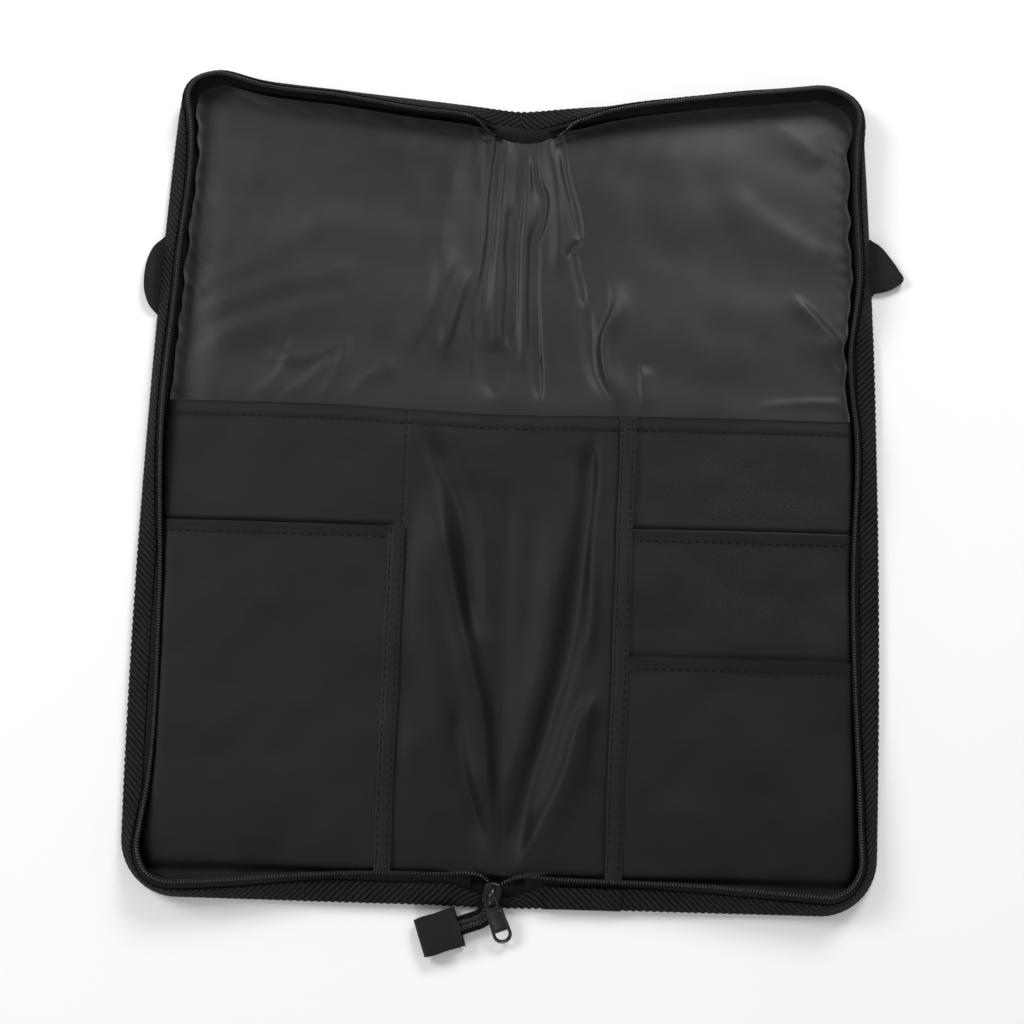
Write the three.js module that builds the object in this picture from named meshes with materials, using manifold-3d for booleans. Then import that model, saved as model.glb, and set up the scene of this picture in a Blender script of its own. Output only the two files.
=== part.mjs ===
// A soft black portfolio case, lying open like a book with its inside up: a spine strip and two panels,
// each with a bound edge, a zipper half around three sides, padding, lining and pockets.
// Millimetres. X runs across both panels, Y along the spine, Z up; the origin is under the middle of the spine.
import * as THREE from "three";
import { mergeVertices } from "three/addons/utils/BufferGeometryUtils.js";
import Module from "manifold-3d";

const wasm = await Module();
wasm.setup();

// ---- Driving dimensions -------------------------------------------------------------------------------

const CLOTH = 0.6;
const SHELL = 0.8;
const GAP = 0.3;

// Outline of a panel, from the middle of the spine outwards.
const HALF_WIDTH = 180; // at the two outer corners
const SIDE_BOW = 4.5; // how far the long outer side bows out between them
const BOTTOM_Y = -205.3;
const TOP_Y_AT_SPINE = 205.3;
const TOP_Y_AT_CORNER = 223.3;
const CORNER_R = 20;
const CORNER_STEPS = 6;
const SIDE_STEPS = 6;

// Spine and creases. A panel turns about the line x = CREASE_X, z = 0.
const CREASE_X = 15.5;
const SPINE_SHELL_X = 14.4;
const SPINE_LINING_X = 13.2;
const SPINE_POCKET_X = 11;
const PANEL_SHELL_X = 16.6;
const PANEL_PADDING_X = 18.6;
const PANEL_POCKET_X = 22.9;
const RIM_TOP_X = 19.6; // where the raised rim starts beside the spine, at the top
const RIM_BOTTOM_X = 28.5; // and at the bottom, beside the slider

// Heights of the layers of a panel.
const FOAM_Z = [SHELL + GAP, 3.1];
const LINING_Z = [3.4, 4];
const POCKET_Z = [8.5, 9.1];
const TIER_1_Z = [9.4, 10];
const TIER_2_Z = [10.3, 10.9];
const TIER_3_Z = [11.2, 11.8];
const SPINE_LINING_Z = [1.1, 1.7];
const SPINE_POCKET_Z = [6.2, 6.8];

// The bound seam that stands out round a panel, and the zipper half that leans in from it.
const FIN_FOLD = { inset: 1.65, z: 2.95 };
const FIN_SLOPE = THREE.MathUtils.degToRad(35);
const FIN_LEAF = 1.35; // from the middle of the fin to the middle of a binding leaf
const FIN_LAYER = 0.45; // and to the middle of the tape or of the shell inside
const BINDING_WIDTH = 9;
const BINDING_UNDER_WIDTH = 6.4;
const LAP_END_X = 59;
const WALL_AT = 8.6; // along the fin, where the shell turns down to the base
const COIL = { inset: 12, z: 12.9, radius: 1.25 };
const COIL_SIDES = 8;

// Insets of the layers from the outline.
const PADDING_INSET = 9.7;
const LINING_INSET = 9.85;
const LINING_EDGE_Z = 7.2;
const POCKET_INSET = 10.8;
const TIER_INSET = 11.7;

// Pocket mouths, and the tapes sewn over their upright edges.
const MOUTH_Y = { left: 39.5, spine: 36.5, right: 37.5 };
const LEFT_FRONT_MOUTH_Y = -23;
const RIGHT_MIDDLE_MOUTH_Y = -21.5;
const RIGHT_FRONT_MOUTH_Y = -85.5;
const TAPE_WIDTH = 8.2;
const LEFT_TAPE_X = -55.3;
const RIGHT_TAPE_X = { top: 58.9, bottom: 54.4 };
const TAPE_END_Y = -191;
const SPINE_POCKET_END_Y = -185;

// Webbing handles that come out from under the outer edges.
const WEBBING_WIDTH = 25;
const STRAP_CLEARANCE = 0.4;
const STRAP_INSET = 33;
const STRAP_END = 1.5; // how far the sewn end stands out past the outline
const HANDLES = {
  left: { y: 107.6, radius: 31, reach: 7.6 },
  right: { y: 121, radius: 15.5, reach: 14 },
};

// Slider, pull tab and the loose end of the closed zipper.
const SLIDER_AT = [-2.4, -199.3, 5];
const SLIDER_TURN = THREE.MathUtils.degToRad(-15);
const ZIP_END_PITCH = THREE.MathUtils.degToRad(4.2);
const SLIDER_LENGTH = 10;
const SLIDER_WIDTH = 8.7;
const SLIDER_Z = { bottom: [-1.8, -0.9], top: [2.6, 3.5] };
const CHAIN_WIDTH = 5.2;
const CHAIN_Z = [0.6, 2.3];
const TAIL_WIDTH = 9;
const SLIDER_STOP_Y = -2.6; // in the slider's frame: how far its diamond can open the chain
const FORK_TOP_Y = 9;
const STUB_END_Y = -8;
const TAIL_BEND_R = 7;
const TAIL_BEND = THREE.MathUtils.degToRad(56);
const TAIL_RUN = 8.6;
const END_TAB = { length: 20, width: 17.8, grip: 15 };
const CROWN = { y: -2.6, z: 6.2, outer: 2.35, hole: 1.4, thickness: 1.5 };
const PULL_TURN = THREE.MathUtils.degToRad(35.6);
const PULL_DROOP = THREE.MathUtils.degToRad(-17);
const PULL = { length: 22.5, width: 9.2, thickness: 1.3, eyeWidth: 6.8, eyeHole: 4.4, eyeEnd: 5.6 };

// ---- Materials ----------------------------------------------------------------------------------------

const material = (color, roughness, metalness = 0) =>
  new THREE.MeshStandardMaterial({ color, roughness, metalness });

const MATERIALS = {
  shell: () => material(0x17181a, 0.8),
  foam: () => material(0x2a2b2d, 0.95),
  lining: () => material(0x3b3d41, 0.5),
  pocket: () => material(0x26282b, 0.7),
  binding: () => material(0x1a1b1c, 0.85),
  zipper_tape: () => material(0x1c1e21, 0.8),
  zipper_coil: () => material(0x303234, 0.45),
  slider: () => material(0x101112, 0.2, 0.9),
  webbing: () => material(0x161718, 0.85),
};

// ---- Solids -------------------------------------------------------------------------------------------

// A closed geometry as a manifold-3d solid that faces outwards, whichever way round it was wound.
function solid(geometry) {
  const loose = geometry.index ? geometry.toNonIndexed() : geometry;
  const bare = new THREE.BufferGeometry().setAttribute("position", loose.getAttribute("position"));
  const merged = mergeVertices(bare, 1e-4);
  const corners = [];
  for (let i = 0; i < merged.index.count; i += 3) {
    const triangle = [...merged.index.array.slice(i, i + 3)];
    if (new Set(triangle).size === 3) corners.push(...triangle);
  }
  const triVerts = new Uint32Array(corners);
  const vertProperties = merged.attributes.position.array;
  const made = new wasm.Manifold(new wasm.Mesh({ numProp: 3, vertProperties, triVerts }));
  if (made.volume() > 0) return made;
  for (let i = 0; i < triVerts.length; i += 3) triVerts.subarray(i, i + 2).reverse();
  return new wasm.Manifold(new wasm.Mesh({ numProp: 3, vertProperties, triVerts }));
}

// A solid as a named mesh.
function piece(name, body, makeMaterial) {
  const { numProp, vertProperties, triVerts } = body.getMesh();
  const stored = new THREE.InterleavedBuffer(vertProperties, numProp);
  const geometry = new THREE.BufferGeometry();
  geometry.setAttribute("position", new THREE.InterleavedBufferAttribute(stored, 3, 0));
  geometry.setIndex(new THREE.BufferAttribute(triVerts, 1));
  const flat = geometry.toNonIndexed();
  flat.computeVertexNormals();
  const mesh = new THREE.Mesh(flat, makeMaterial());
  mesh.name = name;
  return mesh;
}

// A flat plate with the outline given by [x, y] points, between two heights.
function plate(points, [low, high]) {
  const shape = new THREE.Shape(points.map(([x, y]) => new THREE.Vector2(x, y)));
  const geometry = new THREE.ExtrudeGeometry(shape, { depth: high - low, bevelEnabled: false });
  return solid(geometry.translate(0, 0, low));
}

function block([x0, x1], [y0, y1], [z0, z1]) {
  const geometry = new THREE.BoxGeometry(x1 - x0, y1 - y0, z1 - z0);
  return solid(geometry.translate((x0 + x1) / 2, (y0 + y1) / 2, (z0 + z1) / 2));
}

// The closed outline of a cloth of the given thickness whose middle follows a line of 2D points.
function cloth(line, thickness) {
  const side = (sign) =>
    line.map(([a, b], i) => {
      const before = line[Math.max(i - 1, 0)];
      const after = line[Math.min(i + 1, line.length - 1)];
      const into = new THREE.Vector2(a - before[0], b - before[1]).normalize();
      const out = new THREE.Vector2(after[0] - a, after[1] - b).normalize();
      if (!into.lengthSq()) into.copy(out);
      if (!out.lengthSq()) out.copy(into);
      const along = into.clone().add(out).normalize();
      const reach = (sign * thickness) / 2 / Math.max(into.dot(along), 0.35);
      return [a - along.y * reach, b + along.x * reach];
    });
  return [...side(1), ...side(-1).reverse()];
}

// A profile of [inset, z] points carried along the stations of an edge, with flat ends.
function sweep(stations, profile) {
  const count = profile.length;
  const positions = [];
  for (const { x, y, nx, ny } of stations)
    for (const [inset, z] of profile) positions.push(x + nx * inset, y + ny * inset, z);
  const index = [];
  for (let i = 0; i + 1 < stations.length; i++)
    for (let k = 0; k < count; k++) {
      const a = i * count + k;
      const b = i * count + ((k + 1) % count);
      index.push(a, b, b + count, a, b + count, a + count);
    }
  const contour = profile.map(([inset, z]) => new THREE.Vector2(inset, z));
  const last = (stations.length - 1) * count;
  const turned = THREE.ShapeUtils.area(contour) < 0;
  for (const [a, b, c] of THREE.ShapeUtils.triangulateShape(contour, [])) {
    index.push(...(turned ? [a, b, c] : [c, b, a]));
    index.push(...(turned ? [c + last, b + last, a + last] : [a + last, b + last, c + last]));
  }
  const geometry = new THREE.BufferGeometry();
  geometry.setAttribute("position", new THREE.Float32BufferAttribute(positions, 3));
  return solid(geometry.setIndex(index));
}

// ---- The edge of a panel ------------------------------------------------------------------------------

const direction = (from, to) => to.clone().sub(from).normalize();

// Points of an arc of radius CORNER_R that rounds a corner between two directions.
function roundCorner(corner, into, out) {
  const turn = Math.acos(into.dot(out));
  const back = CORNER_R * Math.tan(turn / 2);
  const start = corner.clone().addScaledVector(into, -back);
  const inward = new THREE.Vector2(into.y, -into.x);
  const centre = start.clone().addScaledVector(inward, CORNER_R);
  const points = [];
  for (let i = 0; i <= CORNER_STEPS; i++) {
    const spoke = start.clone().sub(centre);
    points.push(spoke.rotateAround(new THREE.Vector2(), (-turn * i) / CORNER_STEPS).add(centre));
  }
  return points;
}

// The outline of the right panel from the top of the spine round to its bottom: points and inward normals.
function edgeStations(side) {
  const top = new THREE.Vector2(0, TOP_Y_AT_SPINE);
  const upper = new THREE.Vector2(HALF_WIDTH, TOP_Y_AT_CORNER);
  const lower = new THREE.Vector2(HALF_WIDTH, BOTTOM_Y);
  const bottom = new THREE.Vector2(0, BOTTOM_Y);
  const middle = new THREE.Vector2(HALF_WIDTH + 2 * SIDE_BOW, (TOP_Y_AT_CORNER + BOTTOM_Y) / 2);
  const long = new THREE.QuadraticBezierCurve(upper, middle, lower);
  const points = [
    top,
    ...roundCorner(upper, direction(top, upper), direction(upper, middle)),
    ...long.getPoints(SIDE_STEPS + 2).slice(1, -1),
    ...roundCorner(lower, direction(middle, lower), direction(lower, bottom)),
    bottom,
  ];
  return points.map((point, i) => {
    const before = points[Math.max(i - 1, 0)];
    const after = points[Math.min(i + 1, points.length - 1)];
    const into = direction(i ? before : point, i ? point : after);
    const out = direction(i + 1 < points.length ? point : before, i + 1 < points.length ? after : point);
    const along = into.clone().add(out).normalize();
    const reach = 1 / into.dot(along);
    return { x: side * point.x, y: point.y, nx: side * along.y * reach, ny: -along.x * reach };
  });
}

// The part of the edge that carries the raised rim, which stops short of the spine at both ends.
function rimStations(side) {
  const stations = edgeStations(side);
  const first = stations[0];
  const last = stations[stations.length - 1];
  const slope = (TOP_Y_AT_CORNER - TOP_Y_AT_SPINE) / HALF_WIDTH;
  stations[0] = { ...first, x: side * RIM_TOP_X, y: TOP_Y_AT_SPINE + slope * RIM_TOP_X };
  stations[stations.length - 1] = { ...last, x: side * RIM_BOTTOM_X };
  return stations;
}

// The area inside the edge by the given inset, from x = inner outwards.
function panelOutline(side, inset, inner) {
  const points = edgeStations(side).map(({ x, y, nx, ny }) => [x + nx * inset, y + ny * inset]);
  const slope = (TOP_Y_AT_CORNER - TOP_Y_AT_SPINE) / HALF_WIDTH;
  points[0] = [side * inner, points[0][1] + slope * (inner - Math.abs(points[0][0]))];
  points[points.length - 1] = [side * inner, points[points.length - 1][1]];
  return points;
}

// A point of the fin's section as [inset, z]: along it from its fold, and above its middle.
function onFin(along, above) {
  const cos = Math.cos(FIN_SLOPE);
  const sin = Math.sin(FIN_SLOPE);
  return [FIN_FOLD.inset + along * cos - above * sin, FIN_FOLD.z + along * sin + above * cos];
}

function bindingSection() {
  const fold = [];
  for (let i = 0; i <= 4; i++) {
    const angle = (Math.PI * i) / 4;
    fold.push(onFin(-FIN_LEAF * Math.sin(angle), FIN_LEAF * Math.cos(angle)));
  }
  return cloth([onFin(BINDING_WIDTH, FIN_LEAF), ...fold, onFin(BINDING_UNDER_WIDTH, -FIN_LEAF)], CLOTH);
}

function zipperTapeSection() {
  const root = onFin(BINDING_WIDTH + 0.6, FIN_LAYER);
  const lean = direction(new THREE.Vector2(...root), new THREE.Vector2(COIL.inset, COIL.z));
  const free = COIL.radius + GAP;
  const end = [COIL.inset - lean.x * free, COIL.z - lean.y * free];
  return cloth([onFin(0.6, FIN_LAYER), root, end], CLOTH);
}

function shellRimSection() {
  const turn = onFin(WALL_AT, -FIN_LAYER);
  return cloth([onFin(0.8, -FIN_LAYER), turn, [turn[0], 0.05]], CLOTH);
}

function coilSection() {
  const points = [];
  for (let i = 0; i < COIL_SIDES; i++) {
    const angle = (2 * Math.PI * (i + 0.5)) / COIL_SIDES;
    points.push([COIL.inset + COIL.radius * Math.cos(angle), COIL.z + COIL.radius * Math.sin(angle)]);
  }
  return points;
}

// ---- Panels -------------------------------------------------------------------------------------------

const WIDE = [-400, 400];
const below = (y) => [-400, y];

// The slot in the shell's base where the sewn end of a handle lies.
function strapSlot(side, { y }) {
  const half = WEBBING_WIDTH / 2 + STRAP_CLEARANCE;
  const inner = HALF_WIDTH - STRAP_INSET - STRAP_CLEARANCE;
  const across = side > 0 ? [inner, 400] : [-400, -inner];
  return block(across, [y - half, y + half], [-1, SHELL + 0.7]);
}

function panelShell(side, handle) {
  const rim = sweep(rimStations(side), shellRimSection());
  const wall = onFin(WALL_AT, -FIN_LAYER)[0];
  const base = plate(panelOutline(side, wall, PANEL_SHELL_X), [0, SHELL]);
  return base.add(rim).subtract(strapSlot(side, handle));
}

function panelLining(side) {
  const base = plate(panelOutline(side, LINING_INSET - CLOTH / 2, PANEL_PADDING_X), LINING_Z);
  const middle = (LINING_Z[0] + LINING_Z[1]) / 2;
  const edge = cloth([[LINING_INSET, middle - 0.25], [LINING_INSET, LINING_EDGE_Z]], CLOTH);
  return base.add(sweep(rimStations(side), edge));
}

// A pocket sheet raised off the lining, sewn down along its outer side and its bottom, open at its mouth.
function mainPocket(side, mouth) {
  const sheet = plate(panelOutline(side, POCKET_INSET - CLOTH / 2, PANEL_POCKET_X), POCKET_Z);
  const edge = cloth([[POCKET_INSET, LINING_Z[1] + GAP], [POCKET_INSET, POCKET_Z[1] - 0.05]], CLOTH);
  return sheet.add(sweep(rimStations(side), edge)).intersect(block(WIDE, below(mouth), [0, 20]));
}

// A pocket that lies flat on the one behind it.
function flatPocket(side, inner, mouth, heights) {
  const sheet = plate(panelOutline(side, TIER_INSET, inner), heights);
  return sheet.intersect(block(WIDE, below(mouth), [0, 20]));
}

function uprightTape(topX, bottomX, topY, heights) {
  const half = TAPE_WIDTH / 2;
  const corners = [
    [topX - half, topY],
    [topX + half, topY],
    [bottomX + half, TAPE_END_Y],
    [bottomX - half, TAPE_END_Y],
  ];
  return plate(corners, heights);
}

// The webbing under the rim that a handle hangs from: its sewn end fills the slot in the shell.
function handleStrap(side, { y }) {
  const inner = HALF_WIDTH - STRAP_INSET;
  const outer = outlineX(y) + STRAP_END;
  const across = side > 0 ? [inner, outer] : [-outer, -inner];
  return block(across, [y - WEBBING_WIDTH / 2, y + WEBBING_WIDTH / 2], [0, SHELL]);
}

// How far from the spine the long side is at a height on the panel.
function outlineX(y) {
  const middle = (TOP_Y_AT_CORNER + BOTTOM_Y) / 2;
  const half = (TOP_Y_AT_CORNER - BOTTOM_Y) / 2;
  return HALF_WIDTH + SIDE_BOW * (1 - ((y - middle) / half) ** 2);
}

// The bight of a webbing handle, folded flat on itself: two leaves joined at the tip, in a round outline.
function handleBight(side, { y, radius, reach }) {
  const hinge = outlineX(y) + STRAP_END + GAP;
  const centre = hinge + reach - radius;
  const tip = hinge + reach;
  const leaves = block([hinge, tip], [y - radius, y + radius], [0, 1.8]);
  const slit = block([hinge - 1, tip - 2], [y - radius - 1, y + radius + 1], [0.7, 1.1]);
  const round = new THREE.CylinderGeometry(radius, radius, 6, 40).rotateX(Math.PI / 2).translate(centre, y, 0);
  const bight = leaves.subtract(slit).intersect(solid(round));
  return side > 0 ? bight : bight.mirror([1, 0, 0]);
}

function addPanel(group, name, side) {
  const handle = HANDLES[name];
  const add = (part, body, look) => group.add(piece(`${name}_${part}`, body, look));
  add("shell", panelShell(side, handle), MATERIALS.shell);
  add("foam_padding", plate(panelOutline(side, PADDING_INSET, PANEL_PADDING_X), FOAM_Z), MATERIALS.foam);
  add("lining", panelLining(side), MATERIALS.lining);
  add("binding", sweep(rimStations(side), bindingSection()), MATERIALS.binding);
  add("zipper_tape", sweep(rimStations(side), zipperTapeSection()), MATERIALS.zipper_tape);
  add("zipper_coil", sweep(rimStations(side), coilSection()), MATERIALS.zipper_coil);
  add("main_pocket", mainPocket(side, MOUTH_Y[name]), MATERIALS.pocket);
  add("handle_strap", handleStrap(side, handle), MATERIALS.webbing);
  add("handle_bight", handleBight(side, handle), MATERIALS.webbing);
}

// ---- Spine --------------------------------------------------------------------------------------------

// A section in [y, z], carried across the spine between two X values.
function acrossSpine(section, [x0, x1]) {
  const shape = new THREE.Shape(section.map(([y, z]) => new THREE.Vector2(y, z)));
  const geometry = new THREE.ExtrudeGeometry(shape, { depth: x1 - x0, bevelEnabled: false });
  const basis = new THREE.Matrix4().set(0, 0, 1, x0, 1, 0, 0, 0, 0, 1, 0, 0, 0, 0, 0, 1);
  return solid(geometry.applyMatrix4(basis));
}

// The shell of the spine, whose two ends step up into their bindings.
function spineShell() {
  const inside = BOTTOM_Y + 1.3;
  const line = [[inside, 1.2], [inside + 7.5, 1.2], [inside + 8.7, 0.3]];
  const mirrored = line.map(([y, z]) => [-y, z]).reverse();
  return acrossSpine(cloth([...line, ...mirrored], CLOTH), [-SPINE_SHELL_X, SPINE_SHELL_X]);
}

function spineBinding(end) {
  const fold = [];
  for (let i = 0; i <= 4; i++) {
    const angle = (Math.PI * i) / 4;
    fold.push([BOTTOM_Y + 1.1 - 0.9 * Math.sin(angle), 1.2 + 0.9 * Math.cos(angle)]);
  }
  const line = [[BOTTOM_Y + 8.6, 2.1], ...fold, [BOTTOM_Y + 7.4, 0.3]];
  return acrossSpine(cloth(line.map(([y, z]) => [-end * y, z]), CLOTH), [-SPINE_LINING_X, SPINE_LINING_X]);
}

// The smooth tape that closes the top of the spine between the two ends of the coil.
function topStay() {
  return block([-SPINE_LINING_X, SPINE_LINING_X], [189, 196.3], [2.1, 2.7]);
}

// The end of the binding tape, lapped over its beginning at the bottom of the right panel.
function bindingLap() {
  const stations = rimStations(1).slice(-2);
  stations[0] = { ...stations[1], x: LAP_END_X };
  const above = FIN_LEAF + CLOTH + GAP;
  return sweep(stations, cloth([onFin(BINDING_WIDTH, above), onFin(-0.4, above)], CLOTH));
}

// The middle of the wide pocket, which crosses the spine and is sewn down at its bottom.
function spinePocket() {
  const sheet = block([-SPINE_POCKET_X, SPINE_POCKET_X], [SPINE_POCKET_END_Y, MOUTH_Y.spine], SPINE_POCKET_Z);
  const floor = SPINE_LINING_Z[1] + GAP;
  const hem = block(
    [-SPINE_POCKET_X, SPINE_POCKET_X],
    [SPINE_POCKET_END_Y, SPINE_POCKET_END_Y + CLOTH],
    [floor, SPINE_POCKET_Z[1]],
  );
  return sheet.add(hem);
}

function addSpine(group) {
  const lined = [-SPINE_LINING_X, SPINE_LINING_X];
  group.add(piece("spine_shell", spineShell(), MATERIALS.shell));
  group.add(piece("spine_lining", block(lined, [BOTTOM_Y + 12, 194], SPINE_LINING_Z), MATERIALS.lining));
  group.add(piece("spine_pocket", spinePocket(), MATERIALS.pocket));
  group.add(piece("spine_binding_top", spineBinding(1), MATERIALS.binding));
  group.add(piece("spine_binding_bottom", spineBinding(-1), MATERIALS.binding));
  group.add(piece("top_stay_tape", topStay(), MATERIALS.zipper_tape));
}

// ---- Smaller pockets, one on another ------------------------------------------------------------------

function addPocketTiers(group) {
  const add = (name, body) => group.add(piece(name, body, MATERIALS.pocket));
  const { top, bottom } = RIGHT_TAPE_X;
  add("left_front_pocket", flatPocket(-1, -LEFT_TAPE_X, LEFT_FRONT_MOUTH_Y, TIER_1_Z));
  add("left_pocket_tape", uprightTape(LEFT_TAPE_X, LEFT_TAPE_X, LEFT_FRONT_MOUTH_Y, TIER_2_Z));
  add("right_middle_pocket", flatPocket(1, bottom, RIGHT_MIDDLE_MOUTH_Y, TIER_1_Z));
  add("right_front_pocket", flatPocket(1, bottom, RIGHT_FRONT_MOUTH_Y, TIER_2_Z));
  add("right_pocket_tape", uprightTape(top, bottom, MOUTH_Y.right, TIER_3_Z));
}

// ---- Slider, pull and tail ----------------------------------------------------------------------------

function sliderBody() {
  const half = SLIDER_WIDTH / 2;
  const front = SLIDER_LENGTH / 2;
  const outline = [
    [-half * 0.72, front],
    [half * 0.72, front],
    [half, front - 2.2],
    [half, front - 4.4],
    [half * 0.82, -front],
    [-half * 0.82, -front],
    [-half, front - 4.4],
    [-half, front - 2.2],
  ];
  const diamond = [
    [-0.9, front - 0.4],
    [0.9, front - 0.4],
    [1.2, front - 2.6],
    [0, front - 3.8],
    [-1.2, front - 2.6],
  ];
  let body = plate(outline, SLIDER_Z.bottom)
    .add(plate(outline, SLIDER_Z.top))
    .add(plate(diamond, [SLIDER_Z.bottom[0] + 0.1, SLIDER_Z.top[1] - 0.1]));
  for (const side of [-1, 1]) {
    const rail = side > 0 ? [half * 0.82 - 0.8, half * 0.82] : [-half * 0.82, -half * 0.82 + 0.8];
    body = body.add(block(rail, [-front, 0.6], [SLIDER_Z.bottom[1] - 0.1, -0.6]));
    body = body.add(block(rail, [-front, 0.6], [0.9, SLIDER_Z.top[0] + 0.1]));
  }
  return body;
}

// The ring on top of the slider that the pull tab hangs from, on a short foot.
function crown() {
  const ring = new THREE.Shape().absarc(0, 0, CROWN.outer, 0, 2 * Math.PI);
  ring.holes.push(new THREE.Path().absarc(0, 0, CROWN.hole, 0, 2 * Math.PI, true));
  const depth = CROWN.thickness;
  const geometry = new THREE.ExtrudeGeometry(ring, { depth, bevelEnabled: false, curveSegments: 12 });
  geometry.translate(0, 0, -depth / 2).rotateY(Math.PI / 2);
  return solid(geometry.translate(0, CROWN.y, CROWN.z));
}

// Points round the lower half of a circle, from its right end to its left.
function lowerArc(y, radius) {
  const steps = 12;
  return Array.from({ length: steps + 1 }, (_, i) => {
    const angle = (-Math.PI * i) / steps;
    return [radius * Math.cos(angle), y + radius * Math.sin(angle)];
  });
}

// The pull tab in its own frame: hinge at the origin, hanging along -Y. Its crossbar runs through the crown.
function pullTab() {
  const { length, width, thickness, eyeWidth, eyeHole, eyeEnd } = PULL;
  const half = width / 2;
  const round = -length + half;
  const heights = [-thickness / 2, thickness / 2];
  const bar = 0.55;
  const outline = [
    [-eyeWidth / 2, bar],
    [eyeWidth / 2, bar],
    [eyeWidth / 2, -eyeEnd + 1.6],
    [half - 0.7, -eyeEnd],
    ...lowerArc(round, half),
    [-half + 0.7, -eyeEnd],
    [-eyeWidth / 2, -eyeEnd + 1.6],
  ];
  const eye = block([-eyeHole / 2, eyeHole / 2], [-eyeEnd + 1.6, -bar], [-2, 2]);
  const frame = 1.5;
  const arch = [[half - frame, round + 1.2], ...lowerArc(round, half - frame), [frame - half, round + 1.2]];
  const recess = block([frame - half, half - frame], [round + 3, -eyeEnd - 1.2], [0.35, 2]);
  return plate(outline, heights).subtract(eye).subtract(plate(arch, [-2, 2])).subtract(recess);
}

const toPairs = (points) => points.map(({ x, y }) => [x, y]);
const RUN = new THREE.Vector2(-Math.sin(TAIL_BEND), -Math.cos(TAIL_BEND));

// The two woven tapes that meet in the slider and turn into the tail, forked for the slider's diamond.
function forkTape() {
  const tape = plate(cloth(bendLine(FORK_TOP_Y), TAIL_WIDTH), [-CLOTH / 2, CLOTH / 2]);
  return tape.subtract(block([-1.7, 1.7], [SLIDER_STOP_Y + 0.4, 20], [-2, 2]));
}

function stubChain() {
  return plate(cloth(bendLine(SLIDER_STOP_Y), CHAIN_WIDTH), CHAIN_Z);
}

// The middle line of the closed zipper in the slider's frame, straight and then round the bend.
function bendLine(startY) {
  const start = new THREE.Vector2(0, STUB_END_Y);
  const centre = new THREE.Vector2(-TAIL_BEND_R, STUB_END_Y);
  const steps = 6;
  const points = [new THREE.Vector2(0, startY)];
  for (let i = 0; i <= steps; i++)
    points.push(start.clone().rotateAround(centre, (-TAIL_BEND * i) / steps));
  points.push(points[points.length - 1].clone().addScaledVector(RUN, 0.8));
  return toPairs(points);
}

// The tail that flexes: a straight run on from the bend, as far as the given length.
function tailLine(length) {
  const bend = bendLine(0);
  const start = new THREE.Vector2(...bend[bend.length - 1]).addScaledVector(RUN, GAP);
  return toPairs([start, start.clone().addScaledVector(RUN, length)]);
}

// The end tab: cloth folded round the end of the tail, with the tail held between its two leaves.
function endTab() {
  const { length, width } = END_TAB;
  const tip = length - 0.6;
  const line = [[0, -1.5], [tip - 1.7, -1.5], [tip, -0.4], [tip, 2.2], [tip - 1.7, 3.2], [0, 3.2]];
  const shape = new THREE.Shape(cloth(line, SHELL).map(([s, z]) => new THREE.Vector2(s, z)));
  const geometry = new THREE.ExtrudeGeometry(shape, { depth: width, bevelEnabled: false });
  geometry.translate(0, 0, -width / 2).rotateX(Math.PI / 2).rotateZ(-Math.PI / 2 - TAIL_BEND);
  const [, [x, y]] = tailLine(TAIL_RUN);
  return solid(geometry.translate(x, y, 0));
}

function addZipEnd(group) {
  const end = new THREE.Group();
  end.position.set(...SLIDER_AT);
  end.rotation.set(ZIP_END_PITCH, 0, SLIDER_TURN, "ZXY");
  const tail = tailLine(TAIL_RUN + END_TAB.grip);
  const tailTape = plate(cloth(tail, TAIL_WIDTH), [-CLOTH / 2, CLOTH / 2]);
  end.add(piece("spine_zipper_tape", forkTape(), MATERIALS.zipper_tape));
  end.add(piece("spine_zipper_chain", stubChain(), MATERIALS.zipper_coil));
  end.add(piece("slider_body", sliderBody(), MATERIALS.slider));
  end.add(piece("slider_crown", crown(), MATERIALS.slider));
  end.add(piece("tail_tape", tailTape, MATERIALS.zipper_tape));
  end.add(piece("tail_chain", plate(cloth(tail, CHAIN_WIDTH), CHAIN_Z), MATERIALS.zipper_coil));
  end.add(piece("tail_end_tab", endTab(), MATERIALS.webbing));
  const pull = piece("pull_tab", pullTab(), MATERIALS.slider);
  const hinge = new THREE.Group();
  hinge.position.set(0, CROWN.y, CROWN.z);
  hinge.rotation.set(-PULL_DROOP, 0, PULL_TURN, "ZXY");
  hinge.add(pull);
  end.add(hinge);
  group.add(end);
}

// ---- The whole case -----------------------------------------------------------------------------------

const portfolioCase = new THREE.Group();
addSpine(portfolioCase);
addPanel(portfolioCase, "left", -1);
addPanel(portfolioCase, "right", 1);
portfolioCase.add(piece("right_binding_lap", bindingLap(), MATERIALS.binding));
addPocketTiers(portfolioCase);
addZipEnd(portfolioCase);

export default portfolioCase;
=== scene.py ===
import math
import bmesh
import bpy
import numpy as np
from mathutils import Matrix, Vector
from mathutils.bvhtree import BVHTree


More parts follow.
